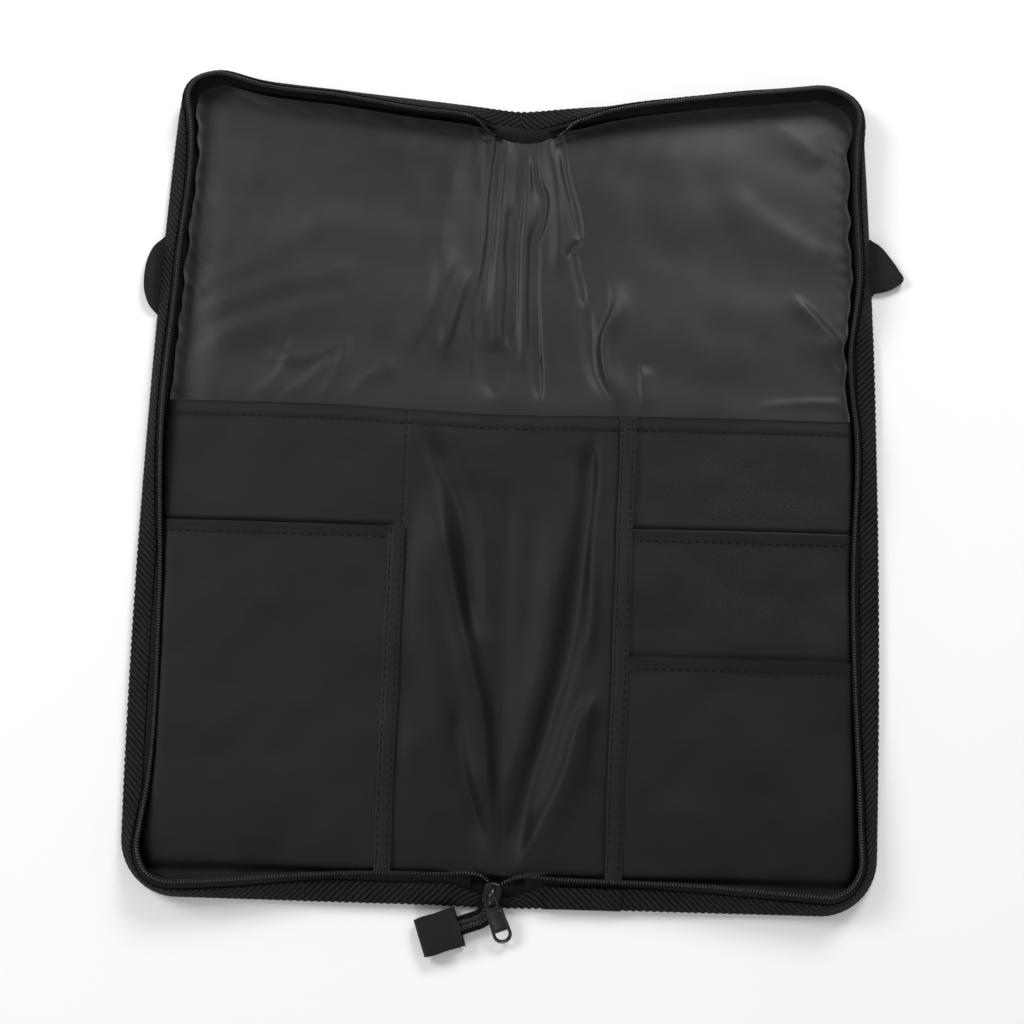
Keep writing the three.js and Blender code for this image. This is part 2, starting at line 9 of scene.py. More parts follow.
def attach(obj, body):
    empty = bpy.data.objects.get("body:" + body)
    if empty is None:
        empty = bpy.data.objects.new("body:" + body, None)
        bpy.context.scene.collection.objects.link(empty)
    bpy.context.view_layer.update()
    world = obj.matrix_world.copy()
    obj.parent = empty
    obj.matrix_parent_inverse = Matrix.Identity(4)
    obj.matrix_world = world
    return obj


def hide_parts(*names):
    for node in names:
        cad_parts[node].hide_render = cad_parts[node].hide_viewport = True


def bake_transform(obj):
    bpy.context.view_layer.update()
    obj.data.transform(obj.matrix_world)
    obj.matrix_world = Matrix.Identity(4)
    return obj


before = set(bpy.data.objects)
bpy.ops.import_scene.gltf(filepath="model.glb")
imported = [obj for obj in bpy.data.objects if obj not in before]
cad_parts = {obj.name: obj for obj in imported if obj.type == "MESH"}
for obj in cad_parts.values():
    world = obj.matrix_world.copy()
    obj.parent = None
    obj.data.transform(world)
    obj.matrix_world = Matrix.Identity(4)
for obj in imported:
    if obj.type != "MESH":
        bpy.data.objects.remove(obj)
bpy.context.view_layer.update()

# A soft black portfolio case lying open, inside up. All lengths here are millimetres in the frame of the
# CAD model (X across the panels, Y along the spine, Z up); meshes are turned into metres as they are made.
MM = 0.001

# ---- Sizes shared with the CAD model -----------------------------------------------------------------------

HALF_WIDTH, SIDE_BOW = 180.0, 4.5
BOTTOM_Y, TOP_Y_AT_SPINE, TOP_SLOPE = -205.3, 205.3, 0.1
CORNER_R = 27.0
PANEL_HEIGHT = TOP_Y_AT_SPINE - BOTTOM_Y
PERIMETER = 2 * HALF_WIDTH + PANEL_HEIGHT
CREASE_X = 15.5
MOUTH_Y = {"left": 39.5, "right": 37.5}
MOUTH_Y_SPINE = 36.7
LEFT_FRONT_MOUTH_Y = -23.0
RIGHT_MIDDLE_MOUTH_Y, RIGHT_FRONT_MOUTH_Y = -21.5, -85.5
TAPE_WIDTH, LEFT_TAPE_X = 8.2, -55.3
RIGHT_TAPE_TOP_X, RIGHT_TAPE_BOTTOM_X = 58.9, 54.4
BINDING_WIDTH, BINDING_UNDER_WIDTH, FIN_LEAF = 9.0, 6.4, 1.35
COIL_PITCH = 1.41
TAPE_REACH = 5.65
SCALLOP = 3.3
LAP_END_X = 59.0
WEBBING_WIDTH = 25.0
HANDLE_Y = {"left": 107.6, "right": 121.0}
STRAP_INNER_X = 147.0
SLIDER_AT = Vector((-2.4, -199.3, 5.0))
SLIDER_TURN, ZIP_PITCH = math.radians(-15), math.radians(4.2)
SIDES = {"left": -1, "right": 1}

# How far in from the outline the zipper coil runs, against the distance round the edge from the top of the
# spine: the rim leans in along the sides, and stands up straight round the two upper corners.
COIL_INSET = {
    "left": [(0, 13), (21, 11), (53, 10.8), (95, 9), (136, 8.4), (160, 4.6), (190, 4.2), (207, 8.4),
             (289, 10.7), (363, 9.6), (455, 14), (536, 13.4), (572, 9.5), (597, 7), (615, 7), (640, 8.4),
             (677, 12), (719, 14.2), (771, 13.6)],
    "right": [(0, 13), (31, 11.8), (46, 9), (83, 6.2), (146, 4.4), (172, 3.8), (195, 3.8), (212, 6.4),
              (240, 8.6), (289, 9), (328, 13.6), (368, 11.8), (436, 14), (549, 10.6), (604, 8.4),
              (647, 10.6), (675, 12.2), (722, 13), (771, 13.6)],
}
COIL_TOP_X = {"left": 12.5, "right": 18.0}
COIL_MOUTH = {"left": Vector((-3.9, -194.3, 6.3)), "right": Vector((1.3, -195.6, 6.3))}
COIL_LEAVES_RIM_X = 34.0


def smoothstep(value, low, high):
    t = np.clip((np.asarray(value, float) - low) / (high - low), 0, 1)
    return t * t * (3 - 2 * t)


# ---- Camera, light and floor -------------------------------------------------------------------------------

CAMERA_TARGET = Vector((1.5, -11.7, 0.0))
CAMERA_DISTANCE, CAMERA_LENS = 877.0, 61.35
CAMERA_ELEVATION, CAMERA_AZIMUTH = math.radians(76.7), math.radians(1.7)


def add_camera():
    sin_a, cos_a = math.sin(CAMERA_AZIMUTH), math.cos(CAMERA_AZIMUTH)
    sin_e, cos_e = math.sin(CAMERA_ELEVATION), math.cos(CAMERA_ELEVATION)
    back = Vector((sin_a * cos_e, -cos_a * cos_e, sin_e))
    right = Vector((cos_a, sin_a, 0))
    turn = Matrix((right, back.cross(right), back)).transposed().to_4x4()
    data = bpy.data.cameras.new("camera")
    data.lens, data.sensor_width = CAMERA_LENS, 36
    data.clip_start, data.clip_end = 0.02, 20
    camera = bpy.data.objects.new("camera", data)
    camera.matrix_world = Matrix.Translation((CAMERA_TARGET + back * CAMERA_DISTANCE) * MM) @ turn
    bpy.context.scene.collection.objects.link(camera)
    bpy.context.scene.camera = camera


def add_light(name, place, size, watts):
    data = bpy.data.lights.new(name, "AREA")
    data.shape, data.size, data.energy = "DISK", size, watts
    light = bpy.data.objects.new(name, data)
    light.location = place
    light.rotation_euler = (-Vector(place)).to_track_quat("-Z", "Y").to_euler()
    bpy.context.scene.collection.objects.link(light)


def add_studio():
    world = bpy.data.worlds.new("studio")
    world.use_nodes = True
    world.node_tree.nodes["Background"].inputs["Color"].default_value = (0.93, 0.96, 1.0, 1)
    world.node_tree.nodes["Background"].inputs["Strength"].default_value = 0.42
    bpy.context.scene.world = world
    add_light("key", (0.5, 1.2, 1.05), 0.6, 14)
    add_light("fill", (-1.2, 0.6, 1.15), 0.7, 14)
    add_light("front", (0.1, -1.75, 0.9), 0.8, 8)
    bpy.context.scene.view_settings.view_transform = "Standard"
    bpy.ops.mesh.primitive_plane_add(size=8, location=(0, 0, -0.0004))
    floor = bpy.context.object
    floor.name = "floor"
    floor.data.materials.append(plain_floor())


# ---- Materials ---------------------------------------------------------------------------------------------


class Nodes:
    """A material's node tree, with short calls to add nodes and join them."""

    def __init__(self, name):
        self.material = bpy.data.materials.new(name)
        self.material.use_nodes = True
        self.tree = self.material.node_tree
        self.shader = self.tree.nodes["Principled BSDF"]

    def add(self, kind, **values):
        node = self.tree.nodes.new(kind)
        for key, value in values.items():
            setattr(node, key, value)
        return node

    def join(self, source, target):
        self.tree.links.new(source, target)
        return target.node

    def set(self, **sockets):
        for key, value in sockets.items():
            self.shader.inputs[key.replace("_", " ")].default_value = value

    def math(self, operation, first, second=0.0):
        node = self.add("ShaderNodeMath", operation=operation)
        for socket, value in zip(node.inputs, (first, second)):
            if isinstance(value, (int, float)):
                socket.default_value = value
            else:
                self.join(value, socket)
        return node.outputs[0]

    def cloth_place(self):
        """Where a point was on the flat cloth, in metres."""
        return self.add("ShaderNodeAttribute", attribute_name="rest").outputs["Vector"]

    def split(self, vector):
        node = self.add("ShaderNodeSeparateXYZ")
        self.join(vector, node.inputs[0])
        return node.outputs

    def noise(self, vector, scale, detail=3.0, roughness=0.55):
        node = self.add("ShaderNodeTexNoise")
        node.inputs["Scale"].default_value = scale
        node.inputs["Detail"].default_value = detail
        node.inputs["Roughness"].default_value = roughness
        self.join(vector, node.inputs["Vector"])
        return node.outputs["Fac"]

    def wave(self, value, period):
        """A sine of a length in metres, from -1 to 1, with the period in millimetres."""
        return self.math("SINE", self.math("MULTIPLY", value, 2 * math.pi / (period * MM)))

    def ramp(self, value, low, high, start=0.3, end=0.7):
        node = self.add("ShaderNodeValToRGB")
        first, last = node.color_ramp.elements
        first.position, last.position = start, end
        first.color, last.color = (*low, 1), (*high, 1)
        self.join(value, node.inputs["Fac"])
        return node.outputs["Color"]

    def object_place(self):
        return self.add("ShaderNodeTexCoord").outputs["Object"]

    def bump(self, height, strength, distance):
        node = self.add("ShaderNodeBump")
        node.inputs["Strength"].default_value = strength
        node.inputs["Distance"].default_value = distance * MM
        self.join(height, node.inputs["Height"])
        return node.outputs["Normal"]


def grey(level, blue=1.06):
    """A linear colour a little towards blue, from an sRGB level of 0 to 255."""
    linear = ((level / 255 + 0.055) / 1.055) ** 2.4
    return (linear, linear * (1 + blue) / 2, linear * blue)


def woven(name, dark, light, *, threads, weave, roughness, specular, sheen=0.0, diagonal=False, blue=1.06,
          painted_sheen=0.0):
    """A woven cloth. threads is the thread pitch in millimetres and weave the depth of its bump. The last
    keyword
    sets a painted sheen: broad slanting light and dark bands painted into the colour, where loose cloth takes
    the light."""
    n = Nodes(name)
    place = n.cloth_place()
    across, along, _ = n.split(place)
    if diagonal:
        slant = n.math("ADD", across, along)
        fine_ribs = n.math("MULTIPLY", n.wave(along, threads * 0.37), 0.35)
        pattern = n.math("ADD", n.wave(slant, threads), fine_ribs)
    else:
        pattern = n.math("MULTIPLY", n.wave(across, threads * 2), n.wave(along, threads * 2))
    slubs = n.noise(place, 900, 2.0)
    clouds = n.noise(place, 26, 4.0)
    height = n.math("ADD", n.math("MULTIPLY", pattern, 0.5), n.math("MULTIPLY", slubs, 0.8))
    shade = n.math("ADD", n.math("MULTIPLY", clouds, 0.75), n.math("MULTIPLY", slubs, 0.25))
    # Painted sheen: broad slanting light and dark bands painted into the base colour, where loose satin would
    # take the light.
    if painted_sheen:
        sheen_band_coords = n.add("ShaderNodeMapping")
        sheen_band_coords.inputs["Rotation"].default_value = (0, 0, math.radians(-38))
        sheen_band_coords.inputs["Scale"].default_value = (7, 24, 1)
        n.join(place, sheen_band_coords.inputs["Vector"])
        sheen_band_shade = n.math("MULTIPLY", n.noise(sheen_band_coords.outputs["Vector"], 1.0, 2.0), 1.1 * painted_sheen)
        shade = n.math("MULTIPLY", shade, 1 - 0.6 * painted_sheen)
        shade = n.math("ADD", shade, n.math("SUBTRACT", sheen_band_shade, 0.25 * painted_sheen))
    shade = n.math("ADD", shade, n.math("MULTIPLY", pattern, 0.26 if diagonal else 0.09))
    n.join(n.ramp(shade, grey(dark, blue), grey(light, blue)), n.shader.inputs["Base Color"])
    rough = n.math("ADD", n.math("MULTIPLY", clouds, 0.12), roughness - 0.06)
    n.join(rough, n.shader.inputs["Roughness"])
    n.join(n.bump(height, 0.6, weave), n.shader.inputs["Normal"])
    n.set(Specular_IOR_Level=specular, Sheen_Weight=sheen, Sheen_Roughness=0.45)
    return n.material


def plain_floor():
    n = Nodes("pale_floor")
    coords = n.object_place()
    n.join(n.ramp(n.noise(coords, 3), (0.93, 0.93, 0.93), (0.95, 0.95, 0.95)), n.shader.inputs["Base Color"])
    n.set(Roughness=0.9, Specular_IOR_Level=0.1)
    return n.material


def nylon(name, dark, light, roughness, specular):
    """Moulded or drawn nylon: the coil, and sewing thread."""
    n = Nodes(name)
    coords = n.object_place()
    streaks = n.noise(coords, 700, 2.0)
    n.join(n.ramp(streaks, grey(dark), grey(light)), n.shader.inputs["Base Color"])
    n.join(n.bump(streaks, 0.3, 0.05), n.shader.inputs["Normal"])
    n.set(Roughness=roughness, Specular_IOR_Level=specular)
    return n.material


def enamel(name):
    """Glossy black enamel over cast metal, faintly rippled, with cloudy wear."""
    n = Nodes(name)
    coords = n.object_place()
    ripple = n.noise(coords, 260, 3.0)
    n.join(n.ramp(n.noise(coords, 90, 4.0), grey(4), grey(17)), n.shader.inputs["Base Color"])
    n.join(n.math("ADD", n.math("MULTIPLY", ripple, 0.14), 0.14), n.shader.inputs["Roughness"])
    n.join(n.bump(ripple, 0.25, 0.12), n.shader.inputs["Normal"])
    n.set(Specular_IOR_Level=0.5)
    return n.material


LOOKS = {
    "shell": woven("canvas_black", 16, 26, threads=0.6, weave=0.25, roughness=0.8, specular=0.12, sheen=0.02),
    # The lining and the pocket cloth carry painted sheen bands (the last keyword), light and dark bands
    # painted into their colour.
    "lining": woven("lining_slate_satin", 27, 42, threads=0.28, weave=0.03, roughness=0.46, specular=0.27,
                    blue=1.16, painted_sheen=1.0),
    "pocket": woven("pocket_oxford", 11, 20, threads=0.5, weave=0.13, roughness=0.5, specular=0.23, blue=1.14,
                    painted_sheen=0.5),
    "binding": woven("binding_twill", 7, 35, threads=SCALLOP, weave=0.55, roughness=0.75, specular=0.1,
                     diagonal=True),
    "zipper_tape": woven("zipper_tape_black", 9, 17, threads=0.45, weave=0.1, roughness=0.6, specular=0.12,
                         blue=1.2),
    "webbing": woven("webbing_black", 13, 34, threads=1.1, weave=0.4, roughness=0.6, specular=0.2,
                     diagonal=True),
    "zipper_coil": nylon("coil_nylon", 26, 60, 0.28, 0.6),
    "thread": nylon("sewing_thread", 6, 16, 0.6, 0.12),
    "slider": enamel("slider_enamel"),
}


# ---- Mesh making -------------------------------------------------------------------------------------------


def tube(sections):
    """Points and quads of a closed body whose sections are (stations, even count, 3), with strip caps."""
    stations, count, _ = sections.shape
    ring = np.arange(count)
    base = (np.arange(stations - 1) * count)[:, None]
    turned = (ring + 1) % count
    around = np.stack([base + ring, base + turned, base + count + turned, base + count + ring], -1)
    strip = np.arange(count // 2 - 1)
    cap = np.stack([strip, count - 1 - strip, count - 2 - strip, strip + 1], -1)
    last = cap[:, ::-1] + (stations - 1) * count
    quads = np.concatenate([around.reshape(-1, 4), cap, last])
    points = sections.reshape(-1, 3)
    a, b, c, d = (points[quads[:, i]] for i in range(4))
    volume = (np.cross(b, c) * a).sum() + (np.cross(c, d) * a).sum()
    return points, quads if volume > 0 else quads[:, ::-1]


class Body:
    """Closed bodies collected into one mesh object."""

    def __init__(self):
        self.points, self.quads, self.rest, self.looks, self.count = [], [], [], [], 0

    def add(self, sections, rest=None, look=0):
        points, quads = tube(np.asarray(sections, float))
        self.points.append(points)
        self.rest.append(points if rest is None else np.asarray(rest, float).reshape(-1, 3))
        self.quads.append(quads + self.count)
        self.looks.append(np.full(len(quads), look))
        self.count += len(points)
        return self

    def build(self, name, *looks, sharp=50):
        mesh = bpy.data.meshes.new(name)
        points = np.concatenate(self.points) * MM
        mesh.from_pydata(points.tolist(), [], np.concatenate(self.quads).tolist())
        attribute = mesh.attributes.new("rest", "FLOAT_VECTOR", "POINT")
        attribute.data.foreach_set("vector", (np.concatenate(self.rest) * MM).astype(np.float32).ravel())
        for look in looks:
            mesh.materials.append(LOOKS[look])
        mesh.polygons.foreach_set("material_index", np.concatenate(self.looks).astype(np.int32))
        mesh.polygons.foreach_set("use_smooth", [True] * len(mesh.polygons))
        mesh.set_sharp_from_angle(angle=math.radians(sharp))
        mesh.update()
        made = bpy.data.objects.new(name, mesh)
        bpy.context.scene.collection.objects.link(made)
        return made


def grid_normals(grid):
    along, across = np.gradient(grid, axis=0), np.gradient(grid, axis=1)
    normal = np.cross(across, along)
    length = np.linalg.norm(normal, axis=-1, keepdims=True)
    normal = normal / np.maximum(length, 1e-9)
    return normal * np.sign(normal[..., 2].sum() or 1)


def cloth(grid, thickness, rest=None):
    """The sections of a cloth whose upper face is a (rows, columns, 3) grid, and its flat coordinates."""
    under = grid - grid_normals(grid) * thickness
    sections = np.concatenate([grid, under[:, ::-1]], axis=1)
    flat = grid if rest is None else rest
    return sections, np.concatenate([flat, flat[:, ::-1]], axis=1)


def ripple(x, y, size, seed, count=14):
    """A smooth random field of waves about the given size, from about -1 to 1."""
    rng = np.random.default_rng(seed)
    total = np.zeros(np.shape(x))
    for _ in range(count):
        angle, phase = rng.uniform(0, 2 * math.pi, 2)
        k = 2 * math.pi / (size * rng.uniform(0.6, 1.8))
        total += np.sin(k * (x * math.cos(angle) + y * math.sin(angle)) + phase)
    return total / math.sqrt(count)


def fold(x, y, path, height, left, right=None, taper=0.25):
    """A ridge (or, below zero, a valley) along a path of points: the two widths are of its flanks."""
    right = left if right is None else right
    smooth, dense = smooth_through(path, 60)
    best = np.full(np.shape(x), 1e9)
    signed, along = np.zeros(np.shape(x)), np.zeros(np.shape(x))
    for i in range(len(dense) - 1):
        a, b = smooth[i], smooth[i + 1]
        step = b - a
        t = np.clip(((x - a[0]) * step[0] + (y - a[1]) * step[1]) / (step @ step), 0, 1)
        dx, dy = x - a[0] - t * step[0], y - a[1] - t * step[1]
        distance = np.hypot(dx, dy)
        nearer = distance < best
        best = np.where(nearer, distance, best)
        signed = np.where(nearer, np.sign(step[0] * dy - step[1] * dx) * distance, signed)
        along = np.where(nearer, (dense[i] + t * (dense[i + 1] - dense[i])) / dense[-1], along)
    width = np.where(signed > 0, left, right)
    ends = smoothstep(along, 0, taper) * smoothstep(1 - along, 0, taper)
    return height * ends * np.exp(-((signed / width) ** 2))


def distances(points):
    """The distance of each point of a line from its start."""
    return np.r_[0, np.cumsum(np.linalg.norm(np.diff(points, axis=0), axis=1))]


def smooth_through(path, count):
    """Evenly spaced points of a smooth curve through a path, and their distances along it."""
    path = np.array(path, float)
    lengths = distances(path)
    at = np.linspace(0, lengths[-1], count)
    return catmull(path, lengths, at), at


def catmull(path, lengths, at):
    """Points of a smooth curve through a path, at distances along it."""
    tangent = np.gradient(path, lengths, axis=0)
    i = np.clip(np.searchsorted(lengths, at, side="right") - 1, 0, len(path) - 2)
    span = (lengths[i + 1] - lengths[i])[:, None]
    t = ((at - lengths[i])[:, None]) / span
    h00, h10 = 2 * t**3 - 3 * t**2 + 1, t**3 - 2 * t**2 + t
    h01, h11 = 3 * t**2 - 2 * t**3, t**3 - t**2
    return h00 * path[i] + h10 * span * tangent[i] + h01 * path[i + 1] + h11 * span * tangent[i + 1]


# ---- The panel's outline and its rim -----------------------------------------------------------------------


def panel_point(inset, rise, slope=TOP_SLOPE):
    """x, y on the right panel of a point inset from the long side and rise above the bottom edge. The rows
    turn gradually from level at the bottom edge to the slope of the top edge."""
    inset, rise = np.broadcast_arrays(np.asarray(inset, float), np.asarray(rise, float))
    from_top = PANEL_HEIGHT - rise
    near_top = from_top < rise
    edge = np.where(near_top, from_top, rise)
    px, py = np.clip(CORNER_R - inset, 0, None), np.clip(CORNER_R - edge, 0, None)
    pull = np.maximum(px, py) / np.maximum(np.hypot(px, py), 1e-9)
    cornered = (px > 0) & (py > 0)
    inset = np.where(cornered, CORNER_R - px * pull, inset)
    edge = np.where(cornered, CORNER_R - py * pull, edge)
    rise = np.where(near_top, PANEL_HEIGHT - edge, edge)
    share = smoothstep(rise, 0, PANEL_HEIGHT)
    x = HALF_WIDTH - inset
    y = BOTTOM_Y + rise + slope * x * share
    middle = 9.0
    bow = SIDE_BOW * (1 - ((y - middle) / 214.3) ** 2)
    x = x + bow * (1 - (inset / HALF_WIDTH) ** 2)
    y = BOTTOM_Y + rise + slope * x * (1 - np.exp(-np.abs(x) / 8)) * share
    return x, y


class Edge:
    """Stations round one panel's outline, from the top of the spine to its bottom."""

    def __init__(self, name, step=0.85):
        self.name, self.side = name, SIDES[name]
        fine = np.linspace(0, PERIMETER, 6000)
        inset = np.clip(HALF_WIDTH - fine, 0, None) + np.clip(fine - HALF_WIDTH - PANEL_HEIGHT, 0, None)
        rise = PANEL_HEIGHT - np.clip(fine - HALF_WIDTH, 0, PANEL_HEIGHT)
        x, y = panel_point(inset, rise)
        length = np.r_[0, np.cumsum(np.hypot(np.diff(x), np.diff(y)))]
        self.s = np.linspace(0, length[-1], int(length[-1] / step))
        self.x, self.y = np.interp(self.s, length, x), np.interp(self.s, length, y)
        self.round = np.interp(self.s, length, fine)
        tx, ty = np.gradient(self.x), np.gradient(self.y)
        size = np.hypot(tx, ty)
        self.nx, self.ny = ty / size, -tx / size
        self.coil = self.coil_inset(self.round)
        top_half = self.round < PERIMETER / 2
        self.lift = np.where(top_half, smoothstep(self.x, 2, 30), smoothstep(self.x, 4, 34))
        cosine = np.clip((self.coil - 4.63) / BINDING_WIDTH, -0.2, 0.93)
        slope = np.arccos(cosine)
        self.slope = slope * self.lift + math.radians(6) * (1 - self.lift)
        self.fold_inset = 1.2 + 0.45 * self.lift
        self.fold_z = 1.25 + 1.7 * self.lift
        tip, tip_z = self.fin(BINDING_WIDTH, 0)
        reach = np.clip(self.coil - tip, -4, 4.6)
        self.coil_z = tip_z + (0.9 + np.sqrt(TAPE_REACH**2 - reach**2) * self.lift) * 0.94

    def coil_inset(self, round_distance):
        table = np.array(COIL_INSET[self.name], float)
        at = table[:, 0]
        return catmull(table, at, np.clip(round_distance, at[0], at[-1]))[:, 1]

    def fin(self, along, above):
        """The fin's section at each station as (inset, z): along it from its fold, above its middle."""
        sine, cosine = np.sin(self.slope), np.cos(self.slope)
        return (self.fold_inset + along * cosine - above * sine, self.fold_z + along * sine + above * cosine)

    def place(self, inset, z):
        """Points at an inset and a height at each station."""
        return np.stack([self.side * (self.x + self.nx * inset), self.y + self.ny * inset, z + 0 * inset], -1)

    def sections(self, line, thickness):
        """Sections of a cloth that follows a line of (inset, z) arrays, and their flat coordinates."""
        inset, z = np.array([p[0] for p in line]), np.array([p[1] for p in line])
        d_inset, d_z = np.gradient(inset, axis=0), np.gradient(z, axis=0)
        size = np.hypot(d_inset, d_z)
        off_inset, off_z = -d_z / size * thickness / 2, d_inset / size * thickness / 2
        inset = np.concatenate([inset + off_inset, (inset - off_inset)[::-1]])
        z = np.concatenate([z + off_z, (z - off_z)[::-1]])
        across = np.r_[0, np.cumsum(size.mean(axis=1)[1:])]
        across = np.concatenate([across, across[::-1]])
        points = np.stack([self.place(i, h) for i, h in zip(inset, z)], axis=1)
        rest = np.stack(np.broadcast_arrays(across[None, :], self.s[:, None], 0.0), -1)
        return points, rest

    def cut(self, sections, rest, start_x, end_x):
        """Only the stations past start_x at the top and before end_x at the bottom."""
        top_half = self.round < PERIMETER / 2
        keep = np.where(top_half, self.x >= start_x, self.x >= end_x)
        return sections[keep], rest[keep]


EDGES = {name: Edge(name) for name in SIDES}


def both(make):
    """Runs a maker for the left and the right side."""
    return {name: make(name, EDGES[name], side) for name, side in SIDES.items()}


def bend_with_panel(piece):
    """A piece that crosses a crease, with its placement baked into its mesh."""
    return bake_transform(piece)


# ---- Rim: binding, zipper tape, wall, coil -----------------------------------------------------------------


def binding(name, edge, side):
    scallop = np.abs(np.sin(math.pi * edge.s / SCALLOP))
    waver = ripple(edge.s, 0 * edge.s, 34, 5 + side) * 0.25
    puff = 0.28 * np.sin(2 * math.pi * edge.s / SCALLOP)
    line = []
    near_slider = (edge.round > PERIMETER / 2) * (1 - smoothstep(edge.x, 3, 24))
    narrow = 1 - (0.62 if side < 0 else 0.7) * near_slider
    for along in np.linspace(BINDING_WIDTH, 0.3, 9):
        swell = 0.25 * math.sin(math.pi * along / BINDING_WIDTH)
        hem = 0.35 if along > BINDING_WIDTH - 0.1 else 0
        reach = along * narrow + (0.22 * scallop + waver) * smoothstep(along, 3, 9)
        line.append(edge.fin(reach, FIN_LEAF - hem + swell + waver * 0.4 + puff * 0.2))
    for angle in np.linspace(0, math.pi, 7):
        radius = FIN_LEAF + 0.85 * scallop - 0.35
        line.append(edge.fin(-radius * math.sin(angle), FIN_LEAF * math.cos(angle) + 0.1 * puff))
    for along in np.linspace(0.8, BINDING_UNDER_WIDTH, 5):
        line.append(edge.fin(along, -FIN_LEAF))
    made = Body().add(*edge.sections(line, 0.55)).build(f"{name}_edge_binding", "binding")
    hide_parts(f"{name}_binding", "spine_binding_top" if side < 0 else "spine_binding_bottom")
    return bend_with_panel(made)


def zipper_tape(name, edge, side):
    tip = edge.fin(BINDING_WIDTH + 0.9, 0.3)
    end = (edge.coil + 0.7, edge.coil_z - 0.7)
    line = [edge.fin(4.0, 0.35), edge.fin(6.5, 0.3), edge.fin(8.4, 0.3)]
    for t in np.linspace(0, 1, 7):
        sag = -0.55 * math.sin(math.pi * t)
        line.append((tip[0] + (end[0] - tip[0]) * t, tip[1] + (end[1] - tip[1]) * t + sag))
    start, stop = COIL_TOP_X[name] - 5, 12
    made = Body().add(*edge.cut(*edge.sections(line, 0.5), start, stop))
    made = made.build(f"{name}_zipper_cloth_tape", "zipper_tape")
    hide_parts(f"{name}_zipper_tape")
    return bend_with_panel(made)


def side_wall(name, edge, side):
    top = edge.fin(8.6, -0.6)
    line = [edge.fin(1.2, -0.5), edge.fin(4.0, -0.5), edge.fin(7.2, -0.5), top]
    for t in np.linspace(0.15, 1, 7):
        bulge = 0.9 * math.sin(math.pi * t)
        line.append((top[0] + (9.9 - top[0]) * t - bulge, top[1] + (0.9 - top[1]) * t))
    line.append((11.5 + 0 * edge.s, 0.75 + 0 * edge.s))
    made = Body().add(*edge.sections(line, 0.7)).build(f"{name}_side_wall", "shell")
    return bend_with_panel(made)


def resample(points, step):
    length = distances(points)
    at = np.linspace(0, length[-1], max(int(length[-1] / step), 2) + 1)
    return np.stack([np.interp(at, length, points[:, i]) for i in range(3)], -1), at


def bezier(a, b, c, d, count):
    t = np.linspace(0, 1, count)[:, None]
    a, b, c, d = (np.array(p, float) for p in (a, b, c, d))
    return a * (1 - t) ** 3 + 3 * b * t * (1 - t) ** 2 + 3 * c * t**2 * (1 - t) + d * t**3


def unit(vectors):
    """Vectors of length one."""
    return vectors / np.maximum(np.linalg.norm(vectors, axis=1, keepdims=True), 1e-9)


def ring(points, radius, one_way, other_way, sides):
    """Circles about points, in the planes of two directions that stand square to each other."""
    angles = (np.arange(sides) * 2 * math.pi / sides)[None, :, None]
    turned = np.cos(angles) * one_way[:, None] + np.sin(angles) * other_way[:, None]
    return points[:, None] + radius * turned


def frames(points):
    """Tangent, sideways and upward directions along a line that runs roughly level."""
    tangent = unit(np.gradient(points, axis=0))
    sideways = unit(np.cross(tangent, [0, 0, 1]))
    return tangent, sideways, np.cross(sideways, tangent)


def wire(points, radius, sides=6):
    """Sections of a round wire along dense points."""
    _, sideways, upward = frames(points)
    return ring(points, radius, sideways, upward, sides)


def coil_turns(centre, across=0.66, high=0.7, thread=0.27, steps=10, sides=5):
    """A nylon coil: a thread wound along a centre line in loops of the given half width and height."""
    points, at = resample(centre, COIL_PITCH / steps)
    _, sideways, upward = frames(points)
    turn = 2 * math.pi * at / COIL_PITCH
    loops = points + sideways * (across * np.cos(turn))[:, None]
    loops = loops + upward * (high * np.sin(turn))[:, None]
    return wire_any(loops, thread, sides)


def wire_any(points, radius, sides):
    """Sections of a wire along a line that may run in any direction."""
    tangent = unit(np.gradient(points, axis=0))
    outward = points - smooth_line(points, 10)
    outward = unit(outward - tangent * (outward * tangent).sum(1, keepdims=True))
    return ring(points, radius, outward, np.cross(tangent, outward), sides)


def smooth_line(points, window):
    """The line with its turns averaged away."""
    pad = np.concatenate([np.repeat(points[:1], window, 0), points, np.repeat(points[-1:], window, 0)])
    kernel = np.ones(window + 1)
    kernel[[0, -1]] = 0.5
    kernel /= kernel.sum()
    mean = np.stack([np.convolve(pad[:, i], kernel, "same") for i in range(3)], -1)
    return mean[window:-window]


def coil_line(name, edge, side):
    """The middle of one coil half, from the top of the spine round to the slider's mouth."""
    centre = edge.place(edge.coil, edge.coil_z)
    top_x, top_edge = COIL_TOP_X[name], edge.round < 200
    centre[:, 2] -= (1 - smoothstep(edge.x, top_x, top_x + 16)) * 1.5 * top_edge
    drop = 5.2 * (1 - smoothstep(edge.x, top_x - 2, top_x + 12)) * top_edge
    centre[:, 1] -= drop
    top_half = edge.round < PERIMETER / 2
    keep = np.where(top_half, edge.x >= top_x, edge.x >= COIL_LEAVES_RIM_X)
    centre = centre[keep]
    end, mouth = centre[-1], np.array(COIL_MOUTH[name])
    along = (centre[-1] - centre[-8]) / np.linalg.norm(centre[-1] - centre[-8])
    into = np.array([math.sin(SLIDER_TURN) * 0.9, -math.cos(SLIDER_TURN), -0.07])
    into = into + np.array([-side * 0.9, 0, -0.1])
    run = bezier(end, end + along * 14, mouth - into * 7, mouth, 40)
    return np.concatenate([centre, run[1:]])


def zipper_coil(name, edge, side):
    centre = coil_line(name, edge, side)
    made = Body().add(coil_turns(centre))
    core, _ = resample(centre, 1.2)
    made.add(wire(core, 0.4, 6), look=1)
    made = made.build(f"{name}_zipper_coil_turns", "zipper_coil", "thread")
    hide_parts(f"{name}_zipper_coil")
    return bend_with_panel(made)


# ---- Panels: outer cover, lining, pockets ------------------------------------------------------------------


